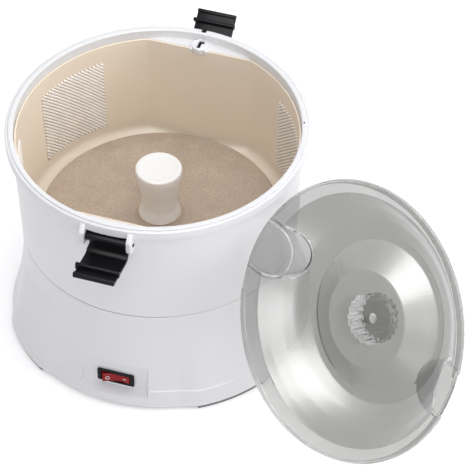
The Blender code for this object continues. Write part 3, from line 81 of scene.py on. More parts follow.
# Boss with its key, and the stop pad behind them
BOSS = (
    (0, 182.5), (7.0, 182.5, 0.5), (7.0, 188.2, 0.9), (5.9, 188.2, 0.2), (5.7, 187.75, 0.2),
    (5.2, 187.75, 0.2), (5.0, 188.05, 0.2), (0, 188.05),
)
BOSS_Y = 107.0
KEY_SIDE, KEY_END, KEY_ARM, KEY_STEM, KEY_STEP = 1.9, 4.2, 2.5, 0.6, 1.5
KEY_Z, KEY_ROUND, KEY_STEPS = (181.0, 187.2), 0.3, 4
SLOT_Z, SLOT_CLEARANCE = (180.0, 190.0), 0.35
TAB, TAB_X, TAB_Y, TAB_Z, TAB_ROUND = (2.2, 4.6, 1.0), 6.1, 103.0, (183.5, 187.0), 0.6
STOP_PAD, STOP_PAD_Y, STOP_PAD_Z, STOP_PAD_ROUND = (3.6, 4.9, 0.5), 117.8, (188.0, 194.7), 0.5

# Liner
LINER_WALL, FLAT_Y = 1.5, 102.5
FLOOR_Z, FLOOR_THICKNESS, FLOOR_CORNER = 88.5, 2.0, 8.5
COLLAR_OUT, COLLAR_IN, COLLAR_TOP = 12.0, 10.0, 90.4
WALL_STEPS, LINER_ARC_STEPS, LINER_LEAST_TURN = 8, 4, 0.004
NOTCH_R, NOTCH_Z = 7.35, (182.2, 190.0)

# Ribbed panels
PANEL_CENTRES = (30, 150, 210, 330)
PANEL_HALF = 17.0
PANEL_LOW, PANEL_HIGH = 102.0, 170.0
PANEL_COLUMNS, PANEL_ROWS = 36, 12
BACKING_UNDER, BACKING = 0.02, 0.2
RIB_HEIGHT, RIB_PITCH, RIB_HALF_WIDTH = 1.2, 3.5, 1.0
RIB_SHIFT, RIB_MARGIN, RIB_SHORTEST, RIB_SLACK = 0.3, 0.1, 2.0, 0.01
RIB_SINK, RIB_CREST, RIB_TIP = 0.1, 0.7, 0.35
RIB_SECTIONS, RIB_STATION, RIB_LEAST_STATIONS = 8, 2.0, 6

# Latches: azimuth, opened angle and the inner bend that clears the rim when closed
LATCHES = {"front": (-90.0, 173.0, 5.5), "rear": (90.0, 143.0, 1.9)}
PIVOT_R, PIVOT_Z = 119.0, 180.0
CLIP_HALF, CLIP_ROUND, CLIP_STEPS = 16.4, 0.45, 9
PLATE_NEAR, PLATE_BACK, PLATE_UNDER, PLATE_TOP, BEND_GAIN = -1.6, -4.4, 15.8, 18.6, 2.5
NOSE_START, NOSE_END, NOSE_UNDER = 27.7, 30.5, 14.0
LIP = ((18.6, 16.6), (18.9, 11.4, 1.5), (22.0, 11.4, 1.5), (22.0, 16.6))
LIP_HALF, LIP_ROUND = 17.6, 0.4
ARM_HALF, FLANK_REACH = 14.6, 9
FLANK = (
    (ARM_HALF, -12), (ARM_HALF, 8.0, 5.0), (CLIP_HALF + 0.2, 14.6, 3.0), (30, 14.6), (30, -12),
)
BARREL_HALF, BARREL_R, BARREL_ROUND = 16.4, 3.7, 0.4
PIN = (
    (0, -21.6), (1.5, -21.6, 0.4), (1.5, -20.7, 0.1), (2.3, -20.7), (2.3, 20.4),
    (3.1, 20.4, 0.5), (3.1, 21.4, 0.9), (0, 21.8),
)

# Base
NECK_R, FOOT_FLARE, NECK_Z, FLARE_POWER = 111.4, 13.1, 80.5, 1.65
LOBES, LOBE_HALF, LOBE_BLEND, LOBE_RISE, LOBE_TOP, LOBE_POWER = 4, 11.5, 9.0, 3.0, 64.0, 0.75
BASE_WALL, BASE_EDGE, BASE_EDGE_STEPS, DECK_Z, DECK_THICKNESS = 2.4, 1.2, 4, 78.0, 2.2
NECK_ROUND, NECK_ROUND_MIDDLE, SHAFT_HOLE_R = 0.5, 0.15, 8.8
BAND_Z, BAND_STEP, BAND_BLEND = 15.0, 0.35, 2.0
BASE_LEAST_TURN = 0.0004
EDGE_LEVELS = (1.2, 2.4, 4.0, 5.6)
BAND_LEVELS = (10.0, 12.0, 14.0, 14.4, 14.8, 15.2, 15.6, 16.0)
MIDDLE_LEVELS = (19.0, 23.0, 27.0, 31.0, 34.5)
LOBE_LEVELS = (40.0, 44.0, 48.0, 51.0, 54.0, 56.5, 58.5, 60.3, 61.8, 62.9, 63.6, 64.0)
NECK_LEVELS = (67.0, 71.0, 75.0, NECK_Z, 85.0)
NECK_LAST = 1.2
INNER_LEVELS = (DECK_Z - DECK_THICKNESS, 64.0, 55.0, 46.0)
INNER_MARGIN, INNER_FOOT = 0.7, 3.0

# Flats of the base, for switch and gland: side, distance and width
FLATS = ((-1, 113.0, 54.0), (1, 118.0, 26.0))
FLAT_LEVELS, FLAT_EDGE, FLAT_FACING = (7.8, 36.8), 0.9, 0.8
EDGE_SHARES = (-0.75, -0.5, -0.25, 0, 0.25, 0.5, 0.75)
CORNER_SHARES = EDGE_SHARES[1:-1]

# Feet and gland
FLOOR_LEVEL = -3.5
FOOT_INSET, FOOT_WIDTH, FOOT_HALF, FOOT_TOP, FOOT_ROUND = 1.2, 8, 13, -0.2, 0.7
GLAND = (
    (3.4, 110.5), (6.0, 110.5), (6.0, 118.3), (8.5, 118.3, 0.4), (8.5, 119.8, 0.8),
    (6.2, 121.3, 0.8), (3.4, 121.3, 0.6),
)
GLAND_Z = 21.0

# Switch
SWITCH_Z, SWITCH_FACE = 18.7, 113.0
SWITCH_PLACE = Matrix.Translation((0, 0, SWITCH_Z)) @ Matrix.Rotation(pi / 2, 4, "X")
OPENING, OPENING_DEPTH, OPENING_RISE = (27.8, 11.0, 0.8), 16, 3
BEZEL, BEZEL_HEIGHT, BEZEL_ROUND = (31.0, 12.6, 1.4), 1.8, 0.6
HOUSING, HOUSING_DEPTH, HOUSING_RISE = (27.4, 10.6, 0.6), 16, 0.9
WINDOW, WINDOW_DEPTH, WINDOW_RISE = (24.4, 8.6, 0.5), 9.3, 6
ROCKER_Y, ROCKER_TURN, ROCKER_HALF, ROCKER_ROUND = -111.8, 9.0, 3.9, 0.4
ROCKER_END, ROCKER_DIP, ROCKER_RISE, ROCKER_POWER, ROCKER_STEPS = 10.8, 3.0, 2.2, 1.7, 12
ROCKER_SHOULDER, ROCKER_SIDE, ROCKER_FOOT = (11.5, -2.6), (11.7, 0.2), (8.2, 2.6)
MARK_X, MARK_TILT, RING_Y, BAR_Y = 6.9, 14.5, -4.07, -4.0
RING_WIRE, RING_R = 0.28, 1.55
BAR, BAR_HALF, BAR_ROUND = (3.0, 0.6, 0.28), 0.2, 0.08

# Disc and hub cap
DISC_TOP, DISC_WAVE, DISC_WAVES = 95.8, 4.0, 3
HUB_OUTLINE = (
    (0, 146.5), (13.5, 146.6, 1.0), (14.6, 147.0, 0.6), (18.7, 147.0, 1.6), (18.7, 141.5, 6.0),
    (14.5, 118.0, 30.0), (14.5, 108.5, 12.0), (17.5, 98.8, 0.8), (4.3, 98.8), (4.3, 131.0),
    (0, 131.0),
)
HUB_STEPS = 8

# Lid, about its own axis, with its upper face from the edge to the middle
LID_PLACE = Matrix((
    (0.11028, -0.68993, 0.71543, 178.03),
    (0.95547, -0.12464, -0.26749, -54.29),
    (0.27372, 0.71307, 0.64546, 81.28),
    (0, 0, 0, 1),
))
LID_TOP = (
    (112.4, 6.9, 1.0), (100.6, 8.9, 0.8), (96.2, 13.6, 9.0), (88.2, 21.2, 30.0),
    (78.7, 28.0, 30.0), (67.5, 32.5, 1.6), (61.0, 32.5, 0.8), (54.3, 28.1, 22.0),
    (38.7, 18.0, 1.2),
)
LID_FOOT = (110.6, 0, 0.5)
LID_WALL, LID_HOLE, LID_MIDDLE_Z, LID_STEPS = 2.2, 4.3, 18.0, 6
HOLLOW_R, HOLLOW_LOW, HOLLOW_CORNER = 108.4, -4.0, (110.0, 4.7, 0.8)
RELIEFS, RELIEF_Z, RELIEF_DEPTH, LID_BEYOND = (78.0, 36.0), (-4.0, 2.0), 4, 118.0
POCKET_R, POCKET_Y, POCKET_FLOOR, POCKET_TOP = 20.5, 97.0, 4.8, 44.0
POCKET_ROUND_IN, POCKET_ROUND_OUT = 1.2, 2.0
# Faces beyond this radius or near the pockets take the lighter clear plastic, which is painted
# light
PAINTED_LIGHTER_R, PAINTED_LIGHTER_MARGIN = 101.0, 0.5
FLUTES, FLUTE_DEPTH, FLUTE_POWER, KNOB_STEPS, KNOB_STEM_Z = 20, 1.8, 0.8, 4, 17.0

# Stage, light and camera
FLOOR_HALF, FLOOR_SQUARES, FLOOR_ROUGHNESS, FLOOR_GLOSS, FLOOR_GLOW = 4000.0, 8, 0.9, 0.1, 0.30
WORLD_LIGHT, WORLD_SEEN = (0.56, 0.56, 0.565), (1.0, 1.0, 1.0)
LAMP_AIM = Vector((0.0, 0.0, 0.1))
CAMERA_SPOT, CAMERA_AHEAD = (0.5037, -1.3838, 1.5474), (-0.2150, 0.6731, -0.7076)
CAMERA_SENSOR, CAMERA_LENS = 36.0, 197.45


# Materials

NOISE_ROUGHNESS = 0.55


def node(tree, kind, **values):
    made = tree.nodes.new(kind)
    for key, value in values.items():
        setattr(made, key, value)
    return made


def noise(tree, place, scale, detail):
    made = node(tree, "ShaderNodeTexNoise")
    made.inputs["Scale"].default_value = scale
    made.inputs["Detail"].default_value = detail
    made.inputs["Roughness"].default_value = NOISE_ROUGHNESS
    tree.links.new(place, made.inputs["Vector"])
    return made.outputs["Fac"]


def spread(tree, value, low, high, start=0.3, end=0.7):
    """Carry a value between start and end to one between low and high."""
    made = node(tree, "ShaderNodeMapRange")
    made.inputs["From Min"].default_value = start
    made.inputs["From Max"].default_value = end
    made.inputs["To Min"].default_value = low
    made.inputs["To Max"].default_value = high
    tree.links.new(value, made.inputs["Value"])
    return made.outputs["Result"]


def blended(tree, share, first, second):
    """Mix two colours, each given as a tuple or as a socket."""
    made = node(tree, "ShaderNodeMix", data_type="RGBA")
    tree.links.new(share, made.inputs["Factor"])
    for socket, colour in ((made.inputs[6], first), (made.inputs[7], second)):
        if isinstance(colour, tuple):
            socket.default_value = (*colour, 1.0)
        else:
            tree.links.new(colour, socket)
    return made.outputs[2]


def tinted(colour, factor):
    return tuple(min(1.0, channel * factor) for channel in colour)


def start_material(name):
    made = bpy.data.materials.new(name)
    made.use_nodes = True
    tree = made.node_tree
    place = node(tree, "ShaderNodeTexCoord").outputs["Object"]
    return made, tree, tree.nodes["Principled BSDF"], place


def add_bump(tree, shader, height, strength, depth):
    made = node(tree, "ShaderNodeBump")
    made.inputs["Strength"].default_value = strength
    made.inputs["Distance"].default_value = depth
    tree.links.new(height, made.inputs["Height"])
    tree.links.new(made.outputs["Normal"], shader.inputs["Normal"])


def moulded(name, colour, rough, grain, depth, spots=0.0, shine=0.45):
    """Moulded plastic: faint tone drift, uneven gloss, a fine skin and sometimes specks."""
    made, tree, shader, place = start_material(name)
    shader.inputs["Specular IOR Level"].default_value = shine
    drift = noise(tree, place, scale=14.0, detail=2.0)
    tone = blended(tree, drift, tinted(colour, 0.955), tinted(colour, 1.035))
    if spots:
        specks = noise(tree, place, scale=2600.0, detail=1.0)
        share = spread(tree, specks, low=0.0, high=spots, start=0.62, end=0.74)
        tone = blended(tree, share, tone, tinted(colour, 0.55))
    tree.links.new(tone, shader.inputs["Base Color"])
    uneven = noise(tree, place, scale=55.0, detail=4.0)
    gloss = spread(tree, uneven, low=rough * 0.94, high=rough * 1.08)
    tree.links.new(gloss, shader.inputs["Roughness"])
    skin = noise(tree, place, scale=grain, detail=4.0)
    add_bump(tree, shader, skin, strength=0.35, depth=depth)
    return made


def gritty(name, colour, pale, rough):
    """Abrasive coat: sharp grains in mixed tones over a plastic backing."""
    made, tree, shader, place = start_material(name)
    grains = node(tree, "ShaderNodeTexVoronoi")
    grains.inputs["Scale"].default_value = 1500.0
    tree.links.new(place, grains.inputs["Vector"])
    mixed = spread(tree, grains.outputs["Distance"], low=0.0, high=1.0, start=0.1, end=0.6)
    tone = blended(tree, mixed, pale, colour)
    cloudy = spread(tree, noise(tree, place, scale=60.0, detail=3.0), low=0.0, high=0.35)
    tone = blended(tree, cloudy, tone, tinted(colour, 0.8))
    tree.links.new(tone, shader.inputs["Base Color"])
    gloss = spread(tree, mixed, low=rough * 0.85, high=rough, start=0.0, end=1.0)
    tree.links.new(gloss, shader.inputs["Roughness"])
    add_bump(tree, shader, grains.outputs["Distance"], strength=0.6, depth=0.00018)
    return made


def metal(name, colour, rough, grain):
    """Machined metal: fine lines along one way and cloudy tones."""
    made, tree, shader, place = start_material(name)
    shader.inputs["Metallic"].default_value = 1.0
    stretch = node(tree, "ShaderNodeMapping")
    stretch.inputs["Scale"].default_value = (grain, grain, grain * 12)
    tree.links.new(place, stretch.inputs["Vector"])
    lines = noise(tree, stretch.outputs["Vector"], scale=10.0, detail=4.0)
    cloudy = noise(tree, place, scale=90.0, detail=3.0)
    tone = blended(tree, cloudy, tinted(colour, 0.9), tinted(colour, 1.08))
    tree.links.new(tone, shader.inputs["Base Color"])
    gloss = spread(tree, lines, low=rough * 0.75, high=rough * 1.3)
    tree.links.new(gloss, shader.inputs["Roughness"])
    add_bump(tree, shader, lines, strength=0.25, depth=0.00003)
    return made


def clear(name, colour, rough, bending, haze):
    """Clear plastic: cloudy in places, with painted shade where seen edge on, and a hazy gloss.
    """
    made, tree, shader, place = start_material(name)
    shader.inputs["Transmission Weight"].default_value = 1.0
    shader.inputs["IOR"].default_value = bending
    shader.inputs["Coat Weight"].default_value = haze
    shader.inputs["Coat Roughness"].default_value = 0.32
    shader.inputs["Coat IOR"].default_value = 1.8
    cloudy = noise(tree, place, scale=22.0, detail=3.0)
    tone = blended(tree, cloudy, tinted(colour, 0.93), tinted(colour, 1.06))
    # Painted shade: the colour falls to a fifth where the surface is seen edge on, standing in
    # for the dark outlines of clear plastic
    facing = node(tree, "ShaderNodeLayerWeight").outputs["Facing"]
    edge = spread(tree, facing, low=0.0, high=1.0, start=0.72, end=0.98)
    tone = blended(tree, edge, tone, tinted(colour, 0.2))
    tree.links.new(tone, shader.inputs["Base Color"])
    gloss = spread(tree, cloudy, low=rough * 0.6, high=rough * 1.5)
    tree.links.new(gloss, shader.inputs["Roughness"])
    ripple = noise(tree, place, scale=60.0, detail=2.0)
    add_bump(tree, shader, ripple, strength=0.12, depth=0.00012)
    return made


WHITE = moulded("white_plastic", (0.765, 0.765, 0.785), rough=0.3, grain=700.0, depth=0.000008)
BEIGE = moulded("beige_plastic", (0.83, 0.73, 0.605), rough=0.36, grain=500.0, depth=0.00005,
                spots=0.12)
HUB = moulded("hub_white_plastic", (0.82, 0.81, 0.80), rough=0.32, grain=650.0, depth=0.00003)
BLACK = moulded("black_plastic", (0.008, 0.008, 0.010), rough=0.24, grain=1100.0, depth=0.00003,
                shine=0.11)
RED = moulded("red_plastic", (0.27, 0.004, 0.006), rough=0.2, grain=900.0, depth=0.00002,
              shine=0.2)
MARK = moulded("white_mark", (0.80, 0.76, 0.74), rough=0.45, grain=1500.0, depth=0.00003)
RUBBER = moulded("grey_rubber", (0.16, 0.16, 0.165), rough=0.75, grain=1600.0, depth=0.00012,
                 spots=0.3)
BELT = moulded("belt_rubber", (0.02, 0.02, 0.021), rough=0.65, grain=1400.0, depth=0.0001,
               spots=0.4)
# Ribs near white: painted highlight on the raised ribs, with an abrasive grain
RIB_PAINTED_HIGHLIGHT = gritty("rib_abrasive_painted_highlight", (0.88, 0.84, 0.79), (0.96, 0.95, 0.93), rough=0.55)
# Backing dark brown: painted shade between the ribs, with an abrasive grain
BACKING_PAINTED_SHADE = gritty("backing_abrasive_painted_shade", (0.50, 0.40, 0.31), (0.62, 0.51, 0.41), rough=0.7)
DISC = gritty("disc_abrasive", (0.40, 0.31, 0.24), (0.62, 0.53, 0.43), rough=0.85)
STEEL = metal("turned_steel", (0.56, 0.57, 0.58), rough=0.28, grain=40.0)
ZINC = metal("zinc_plate", (0.60, 0.62, 0.63), rough=0.42, grain=25.0)
BRONZE = metal("bearing_bronze", (0.53, 0.36, 0.18), rough=0.38, grain=60.0)
CLEAR = clear("clear_lid_plastic", (0.245, 0.245, 0.232), rough=0.04, bending=1.12, haze=1.0)
# A lighter copy of the lid's clear plastic: painted light on the flange and round the pockets
CLEAR_PAINTED_LIGHTER = clear("clear_plastic_painted_lighter", (0.47, 0.472, 0.46), rough=0.04, bending=1.3, haze=0.5)
KNOB = clear("clear_knob_plastic", (0.50, 0.505, 0.495), rough=0.015, bending=1.49, haze=0.0)

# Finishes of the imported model's own pieces that no piece here replaces; screws are steel
INNER_FINISHES = {
    "spindle": STEEL, "motor_shaft": STEEL, "shaft_seal": RUBBER, "upper_bearing": BRONZE,
    "lower_bearing": BRONZE, "spindle_pulley": BLACK, "motor_pulley": ZINC, "motor_can": ZINC,
    "motor_end_cap": BLACK, "drive_belt": BELT, "interlock_switch": BLACK,
    "interlock_plunger": RED, "chassis_plate": ZINC, "bottom_cover": WHITE,
}


# Mesh helpers


def eased(points, steps=ARC_STEPS):
    """A closed outline of (across, up, radius); each corner with a radius becomes an arc."""
    out = []
    count = len(points)
    for index, point in enumerate(points):
        here = Vector(point[:2])
        radius = point[2] if len(point) > 2 else 0
        if not radius:
            out.append(tuple(here))
            continue
        before = Vector(points[index - 1][:2]) - here
        after = Vector(points[(index + 1) % count][:2]) - here
        corner = before.angle(after)
        # Two arcs that share a side take less than half of it each
        reach = min(radius / tan(corner / 2), 0.49 * before.length, 0.49 * after.length)
        radius = reach * tan(corner / 2)
        before.normalize()
        after.normalize()
        centre = here + (before + after).normalized() * (radius / sin(corner / 2))
        start = here + before * reach - centre
        end = here + after * reach - centre
        first = atan2(start.y, start.x)
        turn = (atan2(end.y, end.x) - first + pi) % tau - pi
        for step in range(steps + 1):
            angle = first + turn * step / steps
            out.append((centre.x + radius * cos(angle), centre.y + radius * sin(angle)))
    return out


def smooth(mesh):
    mesh.shade_smooth()
    mesh.set_sharp_from_angle(angle=radians(SHARP_ANGLE))


def finished(name, builder, look, place=None):
    """Scale the mesh under construction to metres and make its object."""
    if place is not None:
        bmesh.ops.transform(builder, matrix=place, verts=builder.verts)
    bmesh.ops.scale(builder, vec=(MM, MM, MM), verts=builder.verts)
    bmesh.ops.recalc_face_normals(builder, faces=builder.faces)
    mesh = bpy.data.meshes.new(name)
    builder.to_mesh(mesh)
    builder.free()
    smooth(mesh)
    for item in look if isinstance(look, tuple) else (look,):
        mesh.materials.append(item)
    made = bpy.data.objects.new(name, mesh)
    bpy.context.scene.collection.objects.link(made)
    return made


def turned(name, outline, look, turns=ROUND_TURNS, place=None):
    """Turn a closed outline round Z.

    The outline lists (radius, height) or is a function of the angle that does; turns is a
    number of equal steps or a list of angles.
    """
    outline_at = outline if callable(outline) else (lambda angle: outline)
    angles = [tau * k / turns for k in range(turns)] if isinstance(turns, int) else turns
    builder = bmesh.new()
    rows = []
    for angle in angles:
        row = []
        for index, (radius, height) in enumerate(outline_at(angle)):
            if radius == 0 and rows:
                row.append(rows[0][index])
            else:
                spot = (radius * cos(angle), radius * sin(angle), height)
                row.append(builder.verts.new(spot))
        rows.append(row)
    for here, following in zip(rows, rows[1:] + rows[:1]):
        for first in range(len(here)):
            second = (first + 1) % len(here)
            corners = (here[first], following[first], following[second], here[second])
            corners = tuple(dict.fromkeys(corners))
            if len(corners) > 2:
                builder.faces.new(corners)
    return finished(name, builder, look, place)


def sharp_edges(builder):
    limit = radians(BEVEL_ANGLE)
    return [e for e in builder.edges if len(e.link_faces) == 2 and e.calc_face_angle() > limit]


def prism(name, outline, low, high, look, place=None, edge=0.0):
    """An outline of (x, y) from height low to height high, with its sharp edges rounded."""
    builder = bmesh.new()
    floor = [builder.verts.new((x, y, low)) for x, y in outline]
    roof = [builder.verts.new((x, y, high)) for x, y in outline]
    builder.faces.new(floor)
    builder.faces.new(roof)
    for first in range(len(outline)):
        second = (first + 1) % len(outline)
        builder.faces.new((floor[first], floor[second], roof[second], roof[first]))
    if edge:
        bmesh.ops.recalc_face_normals(builder, faces=builder.faces)
        bmesh.ops.bevel(
            builder, geom=sharp_edges(builder), offset=edge, segments=BEVEL_SEGMENTS,
            profile=0.5, affect="EDGES", clamp_overlap=True,
        )
    return finished(name, builder, look, place)


def combine(target, tool, operation="DIFFERENCE"):
    """Join a helper shape to a piece or cut it away; the helper is removed."""
    step = target.modifiers.new("step", "BOOLEAN")
    step.operation = operation
    step.solver = "EXACT"
    step.object = tool
    graph = bpy.context.evaluated_depsgraph_get()
    mesh = bpy.data.meshes.new_from_object(target.evaluated_get(graph))
    target.modifiers.clear()
    target.data = mesh
    bpy.data.objects.remove(tool, do_unlink=True)
    smooth(mesh)


def rounded_box(width, height, radius):
    x, y = width / 2, height / 2
    return eased(((-x, -y, radius), (x, -y, radius), (x, y, radius), (-x, y, radius)))


def arc(radius, start, end, steps, centre=(0, 0)):
    """Points on an arc between two angles in degrees."""
    turns = [radians(start + (end - start) * k / steps) for k in range(steps + 1)]
    return [(centre[0] + radius * cos(a), centre[1] + radius * sin(a)) for a in turns]


def circle(radius, steps=SMALL_TURNS, centre=(0, 0)):
    return arc(radius, 0, 360 - 360 / steps, steps - 1, centre)


def ramp(value):
    """A smooth step from 0 to 1."""
    value = max(0.0, min(1.0, value))
    return value * value * (3 - 2 * value)


def keep(piece, body, slot, *nodes):
    """Put a finished piece on its body and hide the nodes it stands for."""
    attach(piece, body)
    if nodes:
        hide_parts(*nodes)
    return piece


# Shared surfaces


def drum_outside(height):
    share = (min(height, FLANGE_Z) - SEAM_Z) / (FLANGE_Z - SEAM_Z)
    return DRUM_FOOT_R + (DRUM_TOP_R - DRUM_FOOT_R) * share


def liner_outside(height):
    return drum_outside(height) - DRUM_WALL - GAP


def liner_inside(height):
    return liner_outside(height) - LINER_WALL


def side_view(azimuth):
    """Carries (distance, height, sideways) into the drum's place at this azimuth."""
    axes = Matrix(((1, 0, 0, 0), (0, 0, -1, 0), (0, 1, 0, 0), (0, 0, 0, 1)))
    return Matrix.Rotation(radians(azimuth), 4, "Z") @ axes


# Drum


def drum_outline(angle):
    seam = SEAM_Z + SEAM_LINE / 2
    inner = drum_outside(FLANGE_Z) - DRUM_WALL
    return eased((
        (drum_outside(seam), seam, 0.6),
        (DRUM_TOP_R, FLANGE_Z, 1.4),
        (RIM_R, FLANGE_Z, 0.9),
        (RIM_R, BAND_TOP, 1.9),
        (CROWN_R + STEP_OUT, BAND_TOP, 0.2),
        (CROWN_R + STEP_FOOT, BAND_TOP - STEP_DEPTH, 0.15),
        (CROWN_R + STEP_IN, BAND_TOP - STEP_DEPTH, 0.15),
        (CROWN_R, RIM_TOP, 0.6),
        (inner, RIM_TOP, 1.1),
        (inner, FLANGE_Z, 0.3),
        (drum_outside(seam) - DRUM_WALL, seam, 0.4),
    ))


def make_drum():
    drum = turned("drum_body", drum_outline, WHITE, FINE_STEPS)
    keep(drum, "body", "white", "drum_shell")
    edge_y = FLAT_Y + LINER_WALL + GAP
    radius = drum_outside(SEAT_Z) - DRUM_WALL / 2
    layers = (
        (edge_y, SEAT_Z - SHELF_THICKNESS, SEAT_Z),
        (edge_y + LEDGE_BACK, SEAT_Z - LEDGE_DROP, SEAT_Z + LEDGE_RISE),
    )
    for latch, (azimuth, _, _) in LATCHES.items():
        for layer, (near, low, high) in enumerate(layers):
            half = degrees(acos(near / radius))
            outline = arc(radius, azimuth - half, azimuth + half, SHELF_STEPS)
            name = "%s_shelf_%d" % (latch, layer)
            keep(prism(name, outline, low, high, WHITE, None, SHELF_ROUND), "body", "white")
        for number, (low, high) in enumerate(((EAR_NEAR, EAR_FAR), (-EAR_FAR, -EAR_NEAR))):
            ear = prism("%s_ear_%d" % (latch, number), eased(EAR, EAR_STEPS), low, high, WHITE,
                        side_view(azimuth), EAR_ROUND)
            keep(ear, "body", "white")
    make_boss()
    dot = turned("rim_mark", eased(RIM_MARK), BLACK, DOT_TURNS)
    turn = radians(RIM_MARK_ANGLE)
    dot.location = (RIM_MARK_R * MM * cos(turn), RIM_MARK_R * MM * sin(turn), 0)
    keep(dot, "body", "black")


def slot_outline(grow):
    """The key's outline: a bar along Y whose rear end is wider to the right."""
    side, end, arm = KEY_SIDE + grow, KEY_END + grow, KEY_ARM + grow
    stem, step = KEY_STEM + grow, KEY_STEP - grow
    return eased((
        (-side, -end, 0.6), (stem, -end, 0.6), (stem, step, 0.4),
        (arm, step, 0.6), (arm, end, 0.8), (-side, end, 0.8),
    ), KEY_STEPS)


def make_boss():
    centre = Matrix.Translation((0, BOSS_Y, 0))
    boss = turned("lock_boss", eased(BOSS), WHITE, ROUND_TURNS, centre)
    combine(boss, prism("boss_slot", slot_outline(SLOT_CLEARANCE), *SLOT_Z, WHITE, centre))
    keep(boss, "body", "white")
    for side in (-1, 1):
        tab = prism("boss_tab_%d" % (side + 1), rounded_box(*TAB), *TAB_Z, WHITE,
                    Matrix.Translation((side * TAB_X, TAB_Y, 0)), TAB_ROUND)
        keep(tab, "body", "white")
    key = prism("lock_key", slot_outline(0), *KEY_Z, BLACK, centre, KEY_ROUND)
    keep(key, "interlock", "black", "interlock_rod")
    stop = prism("rear_stop_pad", rounded_box(*STOP_PAD), *STOP_PAD_Z, BLACK,
                 Matrix.Translation((0, STOP_PAD_Y, 0)), STOP_PAD_ROUND)
    keep(stop, "body", "black", "rear_rim_stop")


# Liner and ribbed panels


def flattened(angle, radius):
    """The radius at this angle after the liner's two flats are taken off."""
    inset = liner_inside(SEAT_Z) - FLAT_Y
    across = abs(sin(angle)) * radius
    return radius if across <= radius - inset else (radius - inset) / abs(sin(angle))


def liner_outline(angle):
    corner = FLOOR_Z + FLOOR_CORNER
    under = FLOOR_Z - FLOOR_THICKNESS
    walls = [(liner_outside(SEAT_Z), SEAT_Z, 0.5), (liner_inside(SEAT_Z), SEAT_Z, 0.5)]
    for step in range(1, WALL_STEPS):
        height = SEAT_Z + (corner - SEAT_Z) * step / WALL_STEPS
        walls.append((liner_inside(height), height))
    foot = liner_inside(corner)
    for step in range(WALL_STEPS + 1):
        bend = pi / 2 * step / WALL_STEPS
        walls.append((foot - FLOOR_CORNER * (1 - cos(bend)), corner - FLOOR_CORNER * sin(bend)))
    points = [(flattened(angle, r[0]), *r[1:]) for r in walls]
    points += [(COLLAR_OUT, FLOOR_Z, 0.6), (COLLAR_OUT, COLLAR_TOP, 0.5)]
    points += [(COLLAR_IN, COLLAR_TOP, 0.4), (COLLAR_IN, under)]
    foot = liner_outside(corner)
    for step in range(WALL_STEPS, -1, -1):
        bend = pi / 2 * step / WALL_STEPS
        height = corner - (FLOOR_CORNER + FLOOR_THICKNESS) * sin(bend)
        points.append((flattened(angle, foot - FLOOR_CORNER * (1 - cos(bend))), height))
    return eased(points, LINER_ARC_STEPS)


def make_liner():
    radius = liner_inside(SEAT_Z)
    corner = asin(FLAT_Y / radius)
    extra = [corner, pi - corner, pi + corner, tau - corner]
    plain = [tau * k / FINE_STEPS for k in range(FINE_STEPS)]
    apart = [a for a in plain if all(abs(a - b) > LINER_LEAST_TURN for b in extra)]
    liner = turned("liner_cup", liner_outline, BEIGE, sorted(apart + extra))
    notch = circle(NOTCH_R, NOTCH_TURNS, (0, BOSS_Y))
    combine(liner, prism("liner_notch", notch, *NOTCH_Z, BEIGE))
    keep(liner, "body", "liner", "drum_liner")


def make_panel(number, centre):
    """A thin curved backing with rounded ribs that climb across it at 45 degrees."""
    climb = 1 if cos(radians(centre)) < 0 else -1
    climb = climb if sin(radians(centre)) > 0 else -climb
    reference = liner_inside((PANEL_LOW + PANEL_HIGH) / 2)
    reach = radians(PANEL_HALF) * reference

    def wrapped(x, y, depth):
        turn = radians(centre) + x / reference
        radius = liner_inside(y) - depth
        return radius * cos(turn), radius * sin(turn), y

    builder = bmesh.new()
    columns, rows = PANEL_COLUMNS, PANEL_ROWS
    sheets = []
    for depth in (BACKING_UNDER, BACKING):
        grid = []
        for column in range(columns + 1):
            x = reach * (2 * column / columns - 1)
            run = []
            for row in range(rows + 1):
                y = PANEL_LOW + (PANEL_HIGH - PANEL_LOW) * row / rows
                run.append(builder.verts.new(wrapped(x, y, depth)))
            grid.append(run)
        for column in range(columns):
            for row in range(rows):
                corners = (grid[column][row], grid[column + 1][row], grid[column + 1][row + 1],
                           grid[column][row + 1])
                builder.faces.new(corners)
        sheets.append(grid)
    under, upper = sheets
    border = [(c, 0) for c in range(columns)] + [(columns, r) for r in range(rows)]
    border += [(c, rows) for c in range(columns, 0, -1)] + [(0, r) for r in range(rows, 0, -1)]
    for (c0, r0), (c1, r1) in zip(border, border[1:] + border[:1]):
        builder.faces.new((under[c0][r0], under[c1][r1], upper[c1][r1], upper[c0][r0]))
    plain_faces = len(builder.faces)
    first = PANEL_LOW - reach
    count = int((PANEL_HIGH - PANEL_LOW + 2 * reach) / RIB_PITCH) + 1
    left, right = -reach + RIB_MARGIN, reach - RIB_MARGIN
    for rib in range(count):
        level = first + (rib + RIB_SHIFT) * RIB_PITCH
        ends = []
        for x in (left, right):
            y = min(max(level + climb * x, PANEL_LOW + RIB_MARGIN), PANEL_HIGH - RIB_MARGIN)
            ends.append(((y - level) * climb, y))
        ends.sort()
        (x0, y0), (x1, y1) = ends
        # A rib that only touches a corner of the panel is left out
        if x1 - x0 < RIB_SHORTEST or x0 < left - RIB_SLACK or x1 > right + RIB_SLACK:
            continue
        add_rib(builder, (x0, y0), (x1, y1), wrapped)
    # The ribs take the second material, near white with painted highlight; the backing keeps the
    # dark one with painted shade
    builder.faces.ensure_lookup_table()
    for face in builder.faces[plain_faces:]:
        face.material_index = 1
    panel = finished("ribbed_panel_%d" % number, builder, (BACKING_PAINTED_SHADE, RIB_PAINTED_HIGHLIGHT))
    keep(panel, "body", "abrasive", "abrasive_panel_%d" % number)


